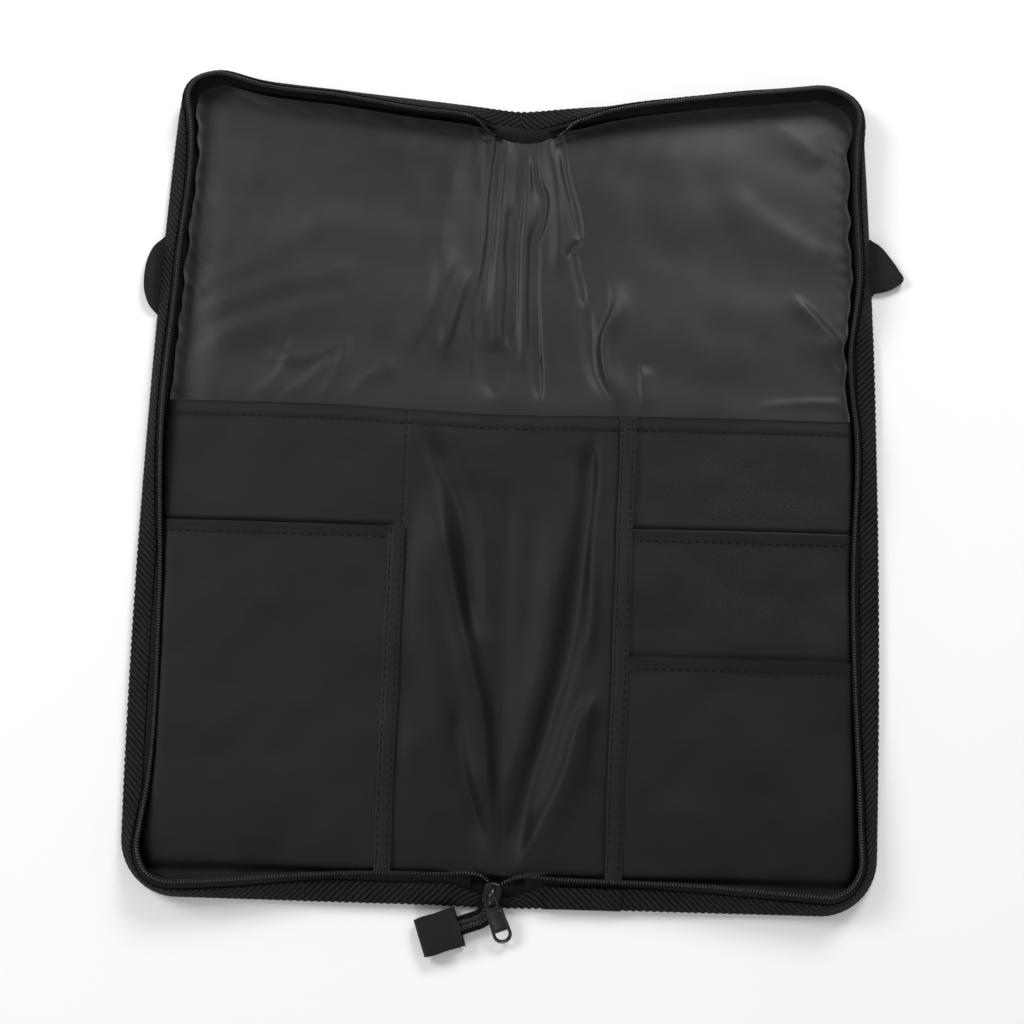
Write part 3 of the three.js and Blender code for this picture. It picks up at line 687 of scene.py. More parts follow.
def spread(low, high, step, dense_low=(), dense_high=()):
    """Grid lines from low to high about a step apart, with extra ones at given distances from each end."""
    first = [low + d for d in dense_low] or [low]
    last = [high - d for d in dense_high] or [high]
    count = max(int(round((last[-1] - first[-1]) / step)), 1)
    middle = np.linspace(first[-1], last[-1], count + 1)
    return np.r_[first[:-1], middle, last[:-1][::-1]]


def panel_grid(edge, insets, rises, reach, slope=TOP_SLOPE):
    """A grid over a panel: rows rise from the bottom edge, columns run out to the long side.
    Near the outline the grid is drawn out to follow the coil, less the given reach."""
    inset, rise = np.meshgrid(insets[::-1], rises)
    x, y = panel_point(inset, rise, slope)
    near = np.minimum(np.minimum(inset, rise), PANEL_HEIGHT - rise)
    points = np.stack([x, y], -1)
    border = near < 30
    spots = points[border]
    station = np.empty(len(spots), int)
    stations = np.stack([edge.x, edge.y], -1)
    for i in range(0, len(spots), 4000):
        chunk = spots[i:i + 4000]
        station[i:i + 4000] = ((chunk[:, None] - stations[None]) ** 2).sum(-1).argmin(1)
    wanted = edge.coil[station] + reach
    fade = np.exp(-np.clip(near[border] - near.min(), 0, None) / 7)
    moved = (wanted - near.min()) * fade
    spots = spots + np.stack([edge.nx[station], edge.ny[station]], -1) * moved[:, None]
    points[border] = spots
    x, y = points[..., 0], points[..., 1]
    return edge.side * x, y, near - near.min()


EDGE_RING = (0, 0.5, 1.2, 2.2, 3.4)


def columns(first, middle_x, coarse=1.6, fine=0.95):
    """Insets of a panel's columns: close at the rim, and close again between the spine and middle_x."""
    turn = HALF_WIDTH - middle_x
    outer = spread(first, turn, coarse, EDGE_RING)
    return np.r_[outer[:-1], np.linspace(turn, HALF_WIDTH, int(middle_x / fine) + 1)]


def outer_cover(name, edge, side):
    """The padded outer cover: a soft slab from the middle of the spine to the foot of the side wall."""
    ring = (0, 0.35, 0.9, 1.8, 3.2, 5.5)
    insets = spread(8.9, HALF_WIDTH, 4, ring)
    rises = spread(8.9, PANEL_HEIGHT - 8.9, 4, ring, ring)
    inset, rise = np.meshgrid(insets[::-1], rises)
    x, y = panel_point(inset, rise)
    near = np.minimum(np.minimum(inset, rise), PANEL_HEIGHT - rise) - 8.9
    panel = smoothstep(np.abs(x), 13, 21)
    rounding = np.sqrt(np.clip(near / 1.8, 0, 1) * (2 - np.clip(near / 1.8, 0, 1)))
    middle = 0.9 + 0.65 * panel
    crease = 0.35 * np.exp(-((np.abs(x) - CREASE_X) / 1.6) ** 2)
    top = middle + (0.35 + 1.15 * panel - crease) * (0.25 + 0.75 * rounding)
    wrinkle = 0.14 + 0.1 * ripple(side * x, y, 45, 21 + side) + 0.05 * ripple(side * x, y, 14, 31)
    strap = smoothstep(x, STRAP_INNER_X - 6, STRAP_INNER_X - 1)
    strap = strap * smoothstep(-np.abs(y - HANDLE_Y[name]), -WEBBING_WIDTH / 2 - 5, -WEBBING_WIDTH / 2 - 0.5)
    bottom = (middle - 0.05) * (1 - rounding) + np.clip(wrinkle, 0.02, None) * rounding + 1.0 * strap
    sides = [np.stack([side * x, y, z], -1) for z in (np.maximum(top, bottom + 0.5), bottom)]
    sections = np.concatenate([sides[0], sides[1][:, ::-1]], axis=1)
    made = Body().add(sections).build(f"{name}_padded_cover", "shell")
    nodes = [f"{name}_shell", f"{name}_foam_padding"] + (["spine_shell"] if side < 0 else [])
    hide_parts(*nodes)
    return bend_with_panel(made)


# Each fold of the gathered cloth at the spine: its path from the top down, its height (below zero it is a
# valley), the widths of its flanks and the share of its length over which its ends fade.
SPINE_FOLDS = [
    ([(-10.6, 196), (-12.9, 173), (-14.4, 153), (-14.8, 134), (-16.3, 119), (-19, 98), (-22.8, 78)],
     -2.3, 3.4, 1.1, 0.1),
    ([(2.6, 194), (0.7, 175), (0.1, 159), (-0.1, 147), (-0.8, 136), (-0.7, 113), (-1.3, 78)],
     -2.0, 1.5, 1.5, 0.1),
    ([(2.0, 192), (1.4, 178), (0.3, 160)], -2.0, 2.6, 2.6, 0.3),
    ([(-2.3, 154), (-3.7, 144), (-3.0, 139), (-3.8, 133), (-2.7, 110), (-3.2, 74)], -1.3, 1.2, 2.2, 0.15),
    ([(8.2, 194), (8.5, 176), (10.9, 165), (14, 156), (13.9, 148), (12.1, 139), (10.2, 133), (10.4, 122),
      (10.2, 111), (12.1, 78), (14.6, 42)], -2.5, 1.2, 3.2, 0.08),
    ([(19.1, 198), (23, 184), (24.8, 172), (27.7, 160), (31.1, 148), (33.5, 131)], -1.8, 1.0, 2.2, 0.12),
    ([(34, 132), (30, 130), (26.4, 123)], -1.2, 1.3, 1.3, 0.3),
    ([(30, 128), (31.8, 117), (34, 109), (36, 96)], -1.2, 1.1, 2.4, 0.2),
    ([(-7.5, 196), (-8.5, 150), (-9.5, 110), (-8, 60)], 1.3, 3.6, 3.6, 0.15),
    ([(5, 194), (4.6, 160), (4, 120), (5, 60)], 1.2, 2.6, 2.6, 0.15),
    ([(15, 192), (19, 165), (22, 140), (21, 110)], 1.3, 4.0, 4.0, 0.2),
    ([(-10, 80), (-9, 60), (-12, 44)], -1.2, 4.0, 5.0, 0.3),
]


# Paths up a panel, then the height of the fold, its reach to the left and to the right, and its taper.
LINING_FOLDS = {
    "left": [
        ([(-28, 190), (-38, 140), (-37, 95), (-31, 50)], 1.2, 9, 6),
        ([(-24, 118), (-29, 98), (-33, 82), (-36, 66)], 1.1, 2.2, 4),
        ([(-31, 128), (-40, 102), (-49, 80), (-56, 66)], 1.0, 3.2, 6),
        ([(-172, 94), (-145, 112), (-120, 126), (-85, 150)], 1.3, 6, 11),
        ([(-170, 82), (-140, 98), (-108, 108), (-75, 116)], 1.5, 5, 10),
        ([(-168, 62), (-140, 80), (-112, 90), (-80, 98)], 1.2, 5, 9),
        ([(-150, 185), (-120, 160), (-95, 130)], 0.8, 12, 20),
        ([(-135, 42), (-122, 52), (-110, 78)], 0.9, 2.2, 7),
        ([(-119, 43), (-106, 52), (-92, 66)], 1.3, 1.8, 6),
        ([(-99, 40), (-90, 56), (-84, 80)], 0.8, 3.2, 3),
        ([(-84, 42), (-74, 56), (-58, 66)], 0.8, 2.2, 6),
        ([(-130, 66), (-106, 64), (-86, 76)], 0.8, 4, 3),
    ],
    "right": [
        ([(47, 116), (51, 98), (45, 78), (47, 60), (54, 44), (63, 33)], 2.6, 6.5, 1.8, 0.3),
        ([(38, 102), (38.5, 82), (41, 62), (50, 42)], -1.3, 2.6, 3.6, 0.3),
        ([(64.5, 66), (65, 54), (67, 40)], 1.5, 5.5, 0.9),
        ([(141, 107), (156, 91), (172, 73)], 1.4, 1.7, 5),
        ([(156, 86), (164, 68), (172, 56)], 0.9, 2.0, 4),
        ([(128, 205), (146, 192), (160, 176)], 0.9, 4, 9),
        ([(108, 168), (125, 148), (150, 132), (172, 122)], 0.9, 6, 13),
        ([(75, 196), (84, 160), (80, 120)], 0.8, 11, 18),
        ([(120, 45), (148, 48), (174, 49)], 1.0, 1.6, 3),
    ],
}
RIM_PUCKERS = ((176, 0.4), (163, 0.5), (150, 0.7), (131, 0.6), (122, 0.4), (104, 0.6))


def folds(x, y, rows):
    return sum(fold(x, y, *row) for row in rows)


def lining_folds(x, y, name):
    """Heights of the folds of the lining."""
    z = folds(x, y, SPINE_FOLDS + LINING_FOLDS[name])
    if name == "left":
        for at, size in RIM_PUCKERS:
            z += fold(x, y, [(-178, at + 1), (-168, at - 2), (-158, at - 9)], size, 1.8, 2.8)
    return z


def lining(name, edge, side):
    insets = columns(12, 62, fine=0.62)
    low = spread(12, 232, 7, EDGE_RING)
    rises = np.r_[low[:-1], spread(232, PANEL_HEIGHT - 12, 1.25, (), EDGE_RING)]
    x, y, near = panel_grid(edge, insets, rises, 1.1)
    out = np.abs(x)
    base = 4.1 + 0.9 * smoothstep(out, 22, 60) - 1.6 * (1 - smoothstep(out, 6, 24))
    crown = 1.1 * smoothstep(near, 0, 22) * smoothstep(out, 20, 60)
    loose = smoothstep(y, 36, 60)
    z = base + crown + loose * lining_folds(x, y, name) * smoothstep(near, 0, 6)
    z += loose * 0.3 * ripple(x, y, 55, 3) + 0.1 * ripple(x, y, 17, 4)
    pucker = np.sin(2 * math.pi * (y + 0.6 * x) / 9.5 + ripple(x, y, 30, 8))
    z += 0.1 * pucker * np.exp(-((near - 2.5) / 4.5) ** 2)
    gather = np.exp(-((y - 195) / 15) ** 2) * (1 - smoothstep(out, 14, 32))
    z += 0.45 * gather * np.cos(2 * math.pi * out / 7.4)
    z += 0.9 * np.exp(-near / 1.2) * smoothstep(out, 16, 30)
    slack = np.exp(-near / 3) * smoothstep(out, 120, 160)
    x = x - side * 0.7 * (1 + ripple(y, 0 * y, 16, 9 + side)) * slack
    z = np.maximum(z, 2.0 + 1.75 * smoothstep(out, 13, 21))
    grid = np.stack([x, y, z], -1)
    made = Body().add(*cloth(grid, 0.35)).build(f"{name}_satin_lining", "lining")
    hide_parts(f"{name}_lining", *(["spine_lining"] if side < 0 else []))
    return bend_with_panel(made)


# The folds where the middle of the wide pocket falls in towards the slider.
POCKET_FOLDS = {
    "left": [
        ([(-45, 34), (-30.5, 4), (-21.6, -21), (-18, -50), (-14, -80)], -3.4, 6, 5, 0.2),
        ([(-39, 4), (-27, -50), (-16.5, -92), (-10.5, -116), (-6.4, -151), (-2.6, -180)],
         4.2, 4.5, 9, 0.2),
        ([(-46, -10), (-34, -90), (-20, -137), (-8, -170)], 1.9, 7, 9, 0.25),
        ([(-24, -105), (-19, -140), (-12, -162), (-6, -184)], -2.6, 3.2, 5, 0.25),
        ([(-1.5, 10), (-2, -60), (-1.5, -120), (-1, -170)], -1.8, 6, 6, 0.2),
        ([(-48, -110), (-36, -150), (-20, -178)], 1.4, 8, 11, 0.3),
    ],
    "right": [
        ([(41.5, 35), (40.5, -8), (36, -45), (29.5, -90), (21, -120), (12.8, -150), (7, -190)],
         -3.8, 4.4, 6.5, 0.12),
        ([(-1.5, 10), (-2, -60), (-1.5, -120), (-1, -170)], -1.8, 6, 6, 0.2),
        ([(47, 34), (45, 0), (42.5, -18), (43, -60), (41, -90)], 2.0, 3.4, 3.4, 0.15),
        ([(52, -99), (40, -113), (31, -143), (19.5, -168), (10, -190)], 3.6, 8.5, 4.0, 0.2),
        ([(24, -10), (20, -80), (12, -130), (5, -165)], 2.6, 6, 8, 0.25),
    ],
}
MOUTH_SHADOWS = {"left": [(LEFT_FRONT_MOUTH_Y, -LEFT_TAPE_X)], "right": [(RIGHT_MIDDLE_MOUTH_Y, 56)]}


def main_pocket(name, edge, side):
    mouth = MOUTH_Y[name]
    insets = columns(12.5, 60)
    rises = spread(12.5, mouth - BOTTOM_Y, 1.3, EDGE_RING, (0, 0.5, 1.1, 1.8))
    x, y, near = panel_grid(edge, insets, rises, 0.3, slope=0)
    out = np.abs(x)
    lower = (mouth - MOUTH_Y_SPINE) * (1 - smoothstep(out, 8, 110)) * smoothstep(y, -60, mouth)
    y = y - lower
    below = mouth - lower - y
    near_rim = np.minimum(near, np.clip(y - BOTTOM_Y - 14, 0, None))
    z = 7.1 + 1.9 * smoothstep(out, 8, 34) - 1.3 * (1 - smoothstep(y, -200, -150)) * smoothstep(out, 4, 30)
    inner = 53 if side < 0 else 50
    middle = 1 - smoothstep(out, inner - 10, inner)
    z += folds(x, y, POCKET_FOLDS[name]) * middle * smoothstep(-y, -34, -14)
    z += 0.28 * ripple(x, y, 60, 11) + 0.1 * ripple(x, y, 20, 12)
    hem = 0.45 * (1 - smoothstep(below, 7.4, 8.0))
    z += hem - 0.4 * np.exp(-((below - 7.2) / 0.55) ** 2) + 0.25 * np.exp(-((below) / 0.7) ** 2)
    z -= 0.35 * np.exp(-((out - inner) / 0.6) ** 2) * (side < 0)
    z -= 2.0 * np.exp(-near_rim / 1.0)
    for line, inner_x in MOUTH_SHADOWS[name]:
        z -= 1.0 * np.exp(-((y - line - 0.9) / 0.9) ** 2) * smoothstep(out, inner_x - 1, inner_x + 3)
    grid = np.stack([x, y, z], -1)
    made = Body().add(*cloth(grid, 0.45)).build(f"{name}_wide_pocket", "pocket")
    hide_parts(f"{name}_main_pocket", *(["spine_pocket"] if side < 0 else []))
    return bend_with_panel(made)


def front_pocket(name, row, inner_x, mouth, level):
    """A pocket that lies on the one behind it, open along its mouth."""
    node = f"{name}_{row}_pocket"
    edge, side = EDGES[name], SIDES[name]
    insets = spread(13, HALF_WIDTH - inner_x, 1.6, EDGE_RING)
    rises = spread(13, mouth - BOTTOM_Y, 1.5, EDGE_RING, (0, 0.5, 1.1, 1.8))
    x, y, near = panel_grid(edge, insets, rises, 0.6, slope=0)
    if side > 0:
        lean = (RIGHT_TAPE_TOP_X - RIGHT_TAPE_BOTTOM_X) * smoothstep(y, -200, 40) - 1
        x = x + lean * (1 - smoothstep(x, 54, 120))
    below = mouth - y
    z = level + 0.28 * ripple(x, y, 60, 11) + 0.1 * ripple(x, y, 20, 12)
    z += 0.12 * ripple(x, y, 35, 40 + int(level))
    z += 0.45 * (1 - smoothstep(below, 5.4, 6)) - 0.35 * np.exp(-((below - 5.2) / 0.5) ** 2)
    z += 0.7 * np.exp(-(below / 2.5) ** 2)
    if mouth == RIGHT_MIDDLE_MOUTH_Y:
        z -= 0.9 * np.exp(-((y - RIGHT_FRONT_MOUTH_Y - 0.9) / 0.9) ** 2)
    z -= 2.3 * np.exp(-np.minimum(near, np.clip(y - BOTTOM_Y - 14, 0, None)) / 1.1)
    z -= 0.6 * smoothstep(-y, 150, 200)
    grid = np.stack([x, y, z], -1)
    made = Body().add(*cloth(grid, 0.45)).build(f"{node}_cloth", "pocket")
    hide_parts(node)
    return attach(made, f"{name}_panel")


def upright_tape(label, node, name, top_x, bottom_x, top_y, level):
    """A folded cloth tape sewn over the upright edge of the pockets."""
    rows = np.linspace(-192, top_y, 150)
    cols = np.linspace(-1, 1, 13)
    across, y = np.meshgrid(cols, rows)
    share = (y + 192) / (top_y + 192)
    centre = bottom_x + (top_x - bottom_x) * share + 0.3 * ripple(y, 0 * y, 60, 17)
    x = centre + across * TAPE_WIDTH / 2
    z = level + 0.28 * ripple(x, y, 60, 11) - 0.6 * smoothstep(-y, 150, 200)
    z += 0.5 * (1 - np.abs(across) ** 6) - 0.35 * np.exp(-((np.abs(across) - 0.62) / 0.12) ** 2)
    grid = np.stack([x, y, z], -1)
    made = Body().add(*cloth(grid, 0.6)).build(label, "pocket")
    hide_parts(node)
    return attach(made, f"{name}_panel")


# ---- Stitches ----------------------------------------------------------------------------------------------


def stitch_row(body, path, surface, pitch=4.0, length=2.9, radius=0.24):
    """Short thread capsules along a path of (x, y) points, lying on a surface height."""
    points = np.array([(x, y, 0) for x, y in path], float)
    line, at = resample(points, 0.5)
    for start in np.arange(0.6, at[-1] - length, pitch):
        spots = np.linspace(start, start + length, 5)
        x, y = np.interp(spots, at, line[:, 0]), np.interp(spots, at, line[:, 1])
        arch = np.array([-0.3, 0.06, 0.14, 0.06, -0.3])
        rings = wire(np.stack([x, y, surface(x, y) + arch], -1), radius, 6)
        centre = rings.mean(axis=1, keepdims=True)
        rings[[0, -1]] = centre[[0, -1]] + (rings[[0, -1]] - centre[[0, -1]]) * 0.35
        body.add(rings)


def height_over(*pieces):
    """A function that gives the height of the highest of some cloths at points x, y."""
    trees = [BVHTree.FromPolygons([v.co for v in p.data.vertices], [f.vertices for f in p.data.polygons])
             for p in pieces]

    def height(x, y):
        found = []
        for px, py in zip(np.ravel(x), np.ravel(y)):
            hits = [t.ray_cast(Vector((px * MM, py * MM, 0.05)), Vector((0, 0, -1)))[0] for t in trees]
            found.append(max([hit.z / MM for hit in hits if hit] or [0.0]))
        return np.array(found)

    return height


def hem_line(name, x_from, x_to, below):
    """Points of a row that follows the mouth of the wide pocket."""
    x = np.linspace(x_from, x_to, 60)
    mouth = MOUTH_Y[name] - (MOUTH_Y[name] - MOUTH_Y_SPINE) * (1 - smoothstep(np.abs(x), 8, 110))
    return list(zip(x, mouth - below))


def pocket_stitching(name, cloths):
    """The rows of stitches that hold one side's pockets and tapes."""
    over = height_over(*cloths)
    rows, side = Body(), SIDES[name]
    stitch_row(rows, hem_line(name, side * 1.0, side * 171, 7.2), over)
    if name == "left":
        stitch_row(rows, [(-53, 38), (-53, -22)], over)
        for offset in (-2.6, 2.6):
            stitch_row(rows, [(LEFT_TAPE_X + offset, -24), (LEFT_TAPE_X + offset, -189)], over)
        stitch_row(rows, [(-60.5, LEFT_FRONT_MOUTH_Y - 5.2), (-170, LEFT_FRONT_MOUTH_Y - 5.2)], over)
    else:
        for offset in (-2.6, 2.6):
            stitch_row(rows, [(RIGHT_TAPE_TOP_X + offset, 36), (RIGHT_TAPE_BOTTOM_X + offset, -189)], over)
        for mouth in (RIGHT_MIDDLE_MOUTH_Y, RIGHT_FRONT_MOUTH_Y):
            stitch_row(rows, [(63.5, mouth - 5.2), (170, mouth - 5.2)], over)
    made = rows.build(f"{name}_pocket_stitching", "thread")
    return bend_with_panel(made)


def binding_stitching(name, edge, side):
    """The row of stitches along the inner edge of the binding."""
    inset, z = edge.fin(BINDING_WIDTH - 1.5, FIN_LEAF + 0.34)
    line, at = resample(edge.place(inset, z), 0.5)
    rows = Body()
    for start in np.arange(1.0, at[-1] - 4, 3.6):
        spots = np.linspace(start, start + 2.5, 4)
        points = np.stack([np.interp(spots, at, line[:, i]) for i in range(3)], -1)
        points[[0, -1], 2] -= 0.3
        rows.add(wire(points, 0.2))
    return bend_with_panel(rows.build(f"{name}_binding_stitching", "thread"))


# ---- Slider, pull and tail ---------------------------------------------------------------------------------

ZIP_FRAME = (Matrix.Translation(SLIDER_AT) @ Matrix.Rotation(SLIDER_TURN, 4, "Z")
             @ Matrix.Rotation(ZIP_PITCH, 4, "X"))
PULL_TURN, PULL_DROOP = math.radians(35.6), math.radians(-17)
CROWN_Y, CROWN_Z = -2.6, 6.2
PULL_FRAME = (ZIP_FRAME @ Matrix.Translation((0, CROWN_Y, CROWN_Z)) @ Matrix.Rotation(PULL_TURN, 4, "Z")
              @ Matrix.Rotation(-PULL_DROOP, 4, "X"))
TAIL_BEND, TAIL_BEND_R, STUB_END_Y = math.radians(56), 7.0, -8.0
CHAIN_TAPE_WIDTH = 9.0


def through(matrix, points):
    """Points carried from a local frame into the model's."""
    m = np.array(matrix)
    return np.asarray(points, float) @ m[:3, :3].T + m[:3, 3]


def rounded(points, radius, steps=5):
    """A closed outline with its corners rounded."""
    out = []
    for i, point in enumerate(points):
        before, after = Vector(points[i - 1]), Vector(points[(i + 1) % len(points)])
        here = Vector(point)
        back = min(radius, (before - here).length / 2, (after - here).length / 2)
        a, b = here + (before - here).normalized() * back, here + (after - here).normalized() * back
        for k in range(steps + 1):
            t = k / steps
            out.append(a * (1 - t) ** 2 + here * 2 * t * (1 - t) + b * t**2)
    return [(p.x, p.y) for p in out]


def cast_plate(name, loops, low, high, bevel, matrix):
    """A plate with rounded edges and holes, from closed 2D loops between two local heights."""
    curve = bpy.data.curves.new(name, "CURVE")
    curve.dimensions, curve.fill_mode = "2D", "BOTH"
    curve.extrude, curve.bevel_depth, curve.bevel_resolution = (high - low) / 2 - bevel, bevel, 3
    curve.offset = -bevel
    for loop in loops:
        spline = curve.splines.new("POLY")
        spline.points.add(len(loop) - 1)
        for spot, (x, y) in zip(spline.points, loop):
            spot.co = (x, y, 0, 1)
        spline.use_cyclic_u = True
    holder = bpy.data.objects.new(name, curve)
    bpy.context.scene.collection.objects.link(holder)
    bpy.context.view_layer.update()
    mesh = bpy.data.meshes.new_from_object(holder.evaluated_get(bpy.context.evaluated_depsgraph_get()))
    bpy.data.objects.remove(holder)
    work = bmesh.new()
    work.from_mesh(mesh)
    bmesh.ops.remove_doubles(work, verts=work.verts, dist=0.004)
    bmesh.ops.dissolve_degenerate(work, edges=work.edges, dist=0.003)
    bmesh.ops.recalc_face_normals(work, faces=work.faces)
    work.transform(Matrix.Scale(MM, 4) @ matrix @ Matrix.Translation((0, 0, (low + high) / 2)))
    work.to_mesh(mesh)
    work.free()
    return mesh


def join_meshes(name, meshes, look):
    """One object from several meshes in metres."""
    work = bmesh.new()
    for mesh in meshes:
        work.from_mesh(mesh)
    whole = bpy.data.meshes.new(name)
    work.to_mesh(whole)
    work.free()
    whole.materials.clear()
    whole.materials.append(LOOKS[look])
    whole.polygons.foreach_set("use_smooth", [True] * len(whole.polygons))
    whole.polygons.foreach_set("material_index", [0] * len(whole.polygons))
    whole.set_sharp_from_angle(angle=math.radians(40))
    made = bpy.data.objects.new(name, whole)
    bpy.context.scene.collection.objects.link(made)
    return made


def circle(x, y, radius, steps=28, start=0.0, end=2 * math.pi):
    angles = np.linspace(start, end, steps, endpoint=end - start < 6.2)
    return [(x + radius * math.cos(a), y + radius * math.sin(a)) for a in angles]


def slider_pieces():
    half, front = 4.35, 5.0
    right = [(half * 0.7, front), (half, front - 3), (half * 0.86, -front + 0.6), (half * 0.6, -front)]
    outline = rounded([(-half * 0.7, front)] + right + [(-x, y) for x, y in right[:0:-1]], 1.8)
    plates = [cast_plate("part", [outline], -1.8, -0.9, 0.25, ZIP_FRAME),
              cast_plate("part", [outline], 2.6, 3.6, 0.32, ZIP_FRAME)]
    neck = [(-1, front - 0.5), (1, front - 0.5), (1.2, front - 2.6), (0, front - 3.8), (-1.2, front - 2.6)]
    neck = rounded(neck, 0.5)
    plates.append(cast_plate("part", [neck], -1.2, 3.2, 0.1, ZIP_FRAME))
    for side in (-1, 1):
        rail = [(side * 2.9, -front + 0.4), (side * 3.75, -front + 0.4), (side * 4.1, 0.6), (side * 3.3, 0.6)]
        plates.append(cast_plate("part", [rounded(rail, 0.3)], -1.6, -0.5, 0.12, ZIP_FRAME))
        plates.append(cast_plate("part", [rounded(rail, 0.3)], 1.5, 3.0, 0.12, ZIP_FRAME))
    slider = join_meshes("slider_cast_body", plates, "slider")
    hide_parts("slider_body")
    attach(slider, "slider")

    arch = [(0, 3.6, 3.2), (0, 3.2, 5.2), (0, 1.2, 7.3), (0, -1.6, 8.2), (0, -4.2, 7.4), (0, -5.0, 5.4),
            (0, -4.0, 3.3)]
    line, _ = smooth_through(arch, 40)
    tangent = np.gradient(line, axis=0)
    tangent /= np.linalg.norm(tangent, axis=1, keepdims=True)
    across = np.tile([1.0, 0, 0], (len(line), 1))
    outward = np.cross(across, tangent)
    angles = np.arange(12) * math.pi / 6
    wide = 1.15 + 0.5 * np.abs(np.linspace(-1, 1, 40)) ** 3
    ring = (np.cos(angles)[None, :, None] * across[:, None] * wide[:, None, None]
            + np.sin(angles)[None, :, None] * outward[:, None] * 0.62)
    crown = Body().add(through(ZIP_FRAME, line[:, None] + ring)).build("slider_crown_bridge", "slider")
    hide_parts("slider_crown")
    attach(crown, "slider")

    length, half_pull = 22.5, 4.6
    lower = -length + half_pull
    outline = [(-2.9, 1.6), (2.9, 1.6), (3.4, -4), (half_pull - 0.4, -6), (half_pull, lower)]
    outline = rounded(outline[:3], 1.2)[6:] + [(half_pull - 0.5, -6)]
    outline += circle(0, lower, half_pull, 18, 0, -math.pi) + [(-half_pull + 0.5, -6), (-3.4, -4.2)]
    outline += rounded([(-3.4, -4.2), (-2.9, 1.6), (2.9, 1.6)], 1.2)[6:12]
    eye = rounded([(-2.0, -3.6), (2.0, -3.6), (1.9, 0.7), (-1.9, 0.7)], 0.9)
    window = [(3.0, lower + 1.4)] + circle(0, lower, 3.0, 14, 0, -math.pi) + [(-3.0, lower + 1.4)]
    recess = rounded([(-2.9, -6.6), (2.9, -6.6), (3.0, lower + 2.8), (-3.0, lower + 2.8)], 0.8)
    sunk = rounded([(-3.2, -6.3), (3.2, -6.3), (3.3, lower + 2.5), (-3.3, lower + 2.5)], 0.8)
    plates = [cast_plate("part", [outline, eye, window, recess], -0.65, 0.75, 0.28, PULL_FRAME),
              cast_plate("part", [sunk], -0.45, 0.25, 0.1, PULL_FRAME)]
    pull = join_meshes("pull_tab_cast", plates, "slider")
    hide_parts("pull_tab")
    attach(pull, "pull")


def tail_path(start_y, run):
    """The middle line of the closed zipper in the slider's frame: straight, round the bend, and on."""
    points = [(0, start_y)]
    for i in range(9):
        angle = -TAIL_BEND * i / 8
        points.append((TAIL_BEND_R * (math.cos(angle) - 1), STUB_END_Y + TAIL_BEND_R * math.sin(angle)))
    way = np.array([-math.sin(TAIL_BEND), -math.cos(TAIL_BEND)])
    end = np.array(points[-1]) + way * run
    return np.array(points + [tuple(end)]), way


def zip_strip(name, path, node_names, body):
    """A stretch of closed zipper: two woven tapes with two interlocked coils on them."""
    line, _ = resample(np.c_[path, np.zeros(len(path))], 0.7)
    _, sideways, _ = frames(line)
    cols = np.linspace(-1, 1, 15)
    grid = line[:, None] + sideways[:, None] * (cols * CHAIN_TAPE_WIDTH / 2)[None, :, None]
    grid[..., 2] = 0.3 - 0.25 * np.exp(-(cols / 0.12) ** 2)[None, :]
    tape = Body().add(*cloth(through(ZIP_FRAME, grid), 0.55)).build(f"{name}_tape", "zipper_tape")
    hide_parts(node_names[0])
    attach(tape, body)
    chain = Body()
    for sign in (-1, 1):
        centre = line + sideways * sign * 1.15 + np.array([0, 0, 1.35])
        chain.add(through(ZIP_FRAME, coil_turns(centre, 1.15, 0.8, 0.36)))
        seam = line + sideways * sign * 3.0 + np.array([0, 0, 0.42])
        chain.add(through(ZIP_FRAME, wire(seam, 0.22)), look=1)
    chain = chain.build(f"{name}_coils", "zipper_coil", "thread")
    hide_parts(node_names[1])
    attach(chain, body)


def tail_pieces():
    stub, way = tail_path(-4.6, 0.8)
    zip_strip("zipper_stub", stub, ("spine_zipper_tape", "spine_zipper_chain"), "spine")
    start = stub[-1] - way * 0.5
    tail = np.array([start, start + way * 22])
    zip_strip("zipper_tail", tail, ("tail_tape", "tail_chain"), "tail")
    tab_start = np.array([*(start + way * 8.6), 0.0])
    forward, aside = np.array([*way, 0.0]), np.array([way[1], -way[0], 0.0])
    fold_line = [(0.2, 3.9), (5, 4.3), (11, 4.1), (16, 3.6), (18.6, 2.4), (19.2, 0.9), (18.4, -0.7),
                 (15, -1.6), (8, -1.9), (0, -2.0)]
    line, at = smooth_through(fold_line, 54)
    cols = np.linspace(-1, 1, 26)
    pinch = 0.45 * np.abs(cols) ** 3
    grid = np.zeros((len(line), len(cols), 3))
    middle = 0.9
    for i, (run, z) in enumerate(line):
        lifted = middle + (z - middle) * (1 - pinch)
        wide = 8.9 + 0.12 * math.sin(run * 0.5)
        grid[i] = tab_start + forward * run + aside * (cols * wide)[:, None]
        grid[i, :, 2] = lifted + 0.15 * np.sin(cols * 5 + run * 0.4)
    rest = np.stack(np.broadcast_arrays(cols[None, :] * 8.9, at[:, None], 0.0), -1)
    sections, flat = cloth(grid, 0.9, rest)
    tab = Body().add(through(ZIP_FRAME, sections), flat)
    rng = np.random.default_rng(7)
    for _ in range(34):
        side = rng.choice([-1, 1])
        run = rng.uniform(0, 2.2) if rng.random() < 0.7 else rng.uniform(0, 17)
        base = tab_start + forward * run + aside * side * 8.7 + np.array([0, 0, rng.uniform(3.0, 3.7)])
        way_out = aside * side * rng.uniform(0.3, 1.0) - forward * rng.uniform(0, 0.9)
        way_out[2] += rng.uniform(-0.4, 0.5)
        hair = base + np.linspace(0, 1, 5)[:, None] * way_out * rng.uniform(0.7, 1.7)
        tab.add(through(ZIP_FRAME, wire(hair, 0.07, 4)))
    tab = tab.build("tail_end_tab_cloth", "webbing")
    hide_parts("tail_end_tab")
    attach(tab, "tail")


# ---- Handles and small rim pieces --------------------------------------------------------------------------


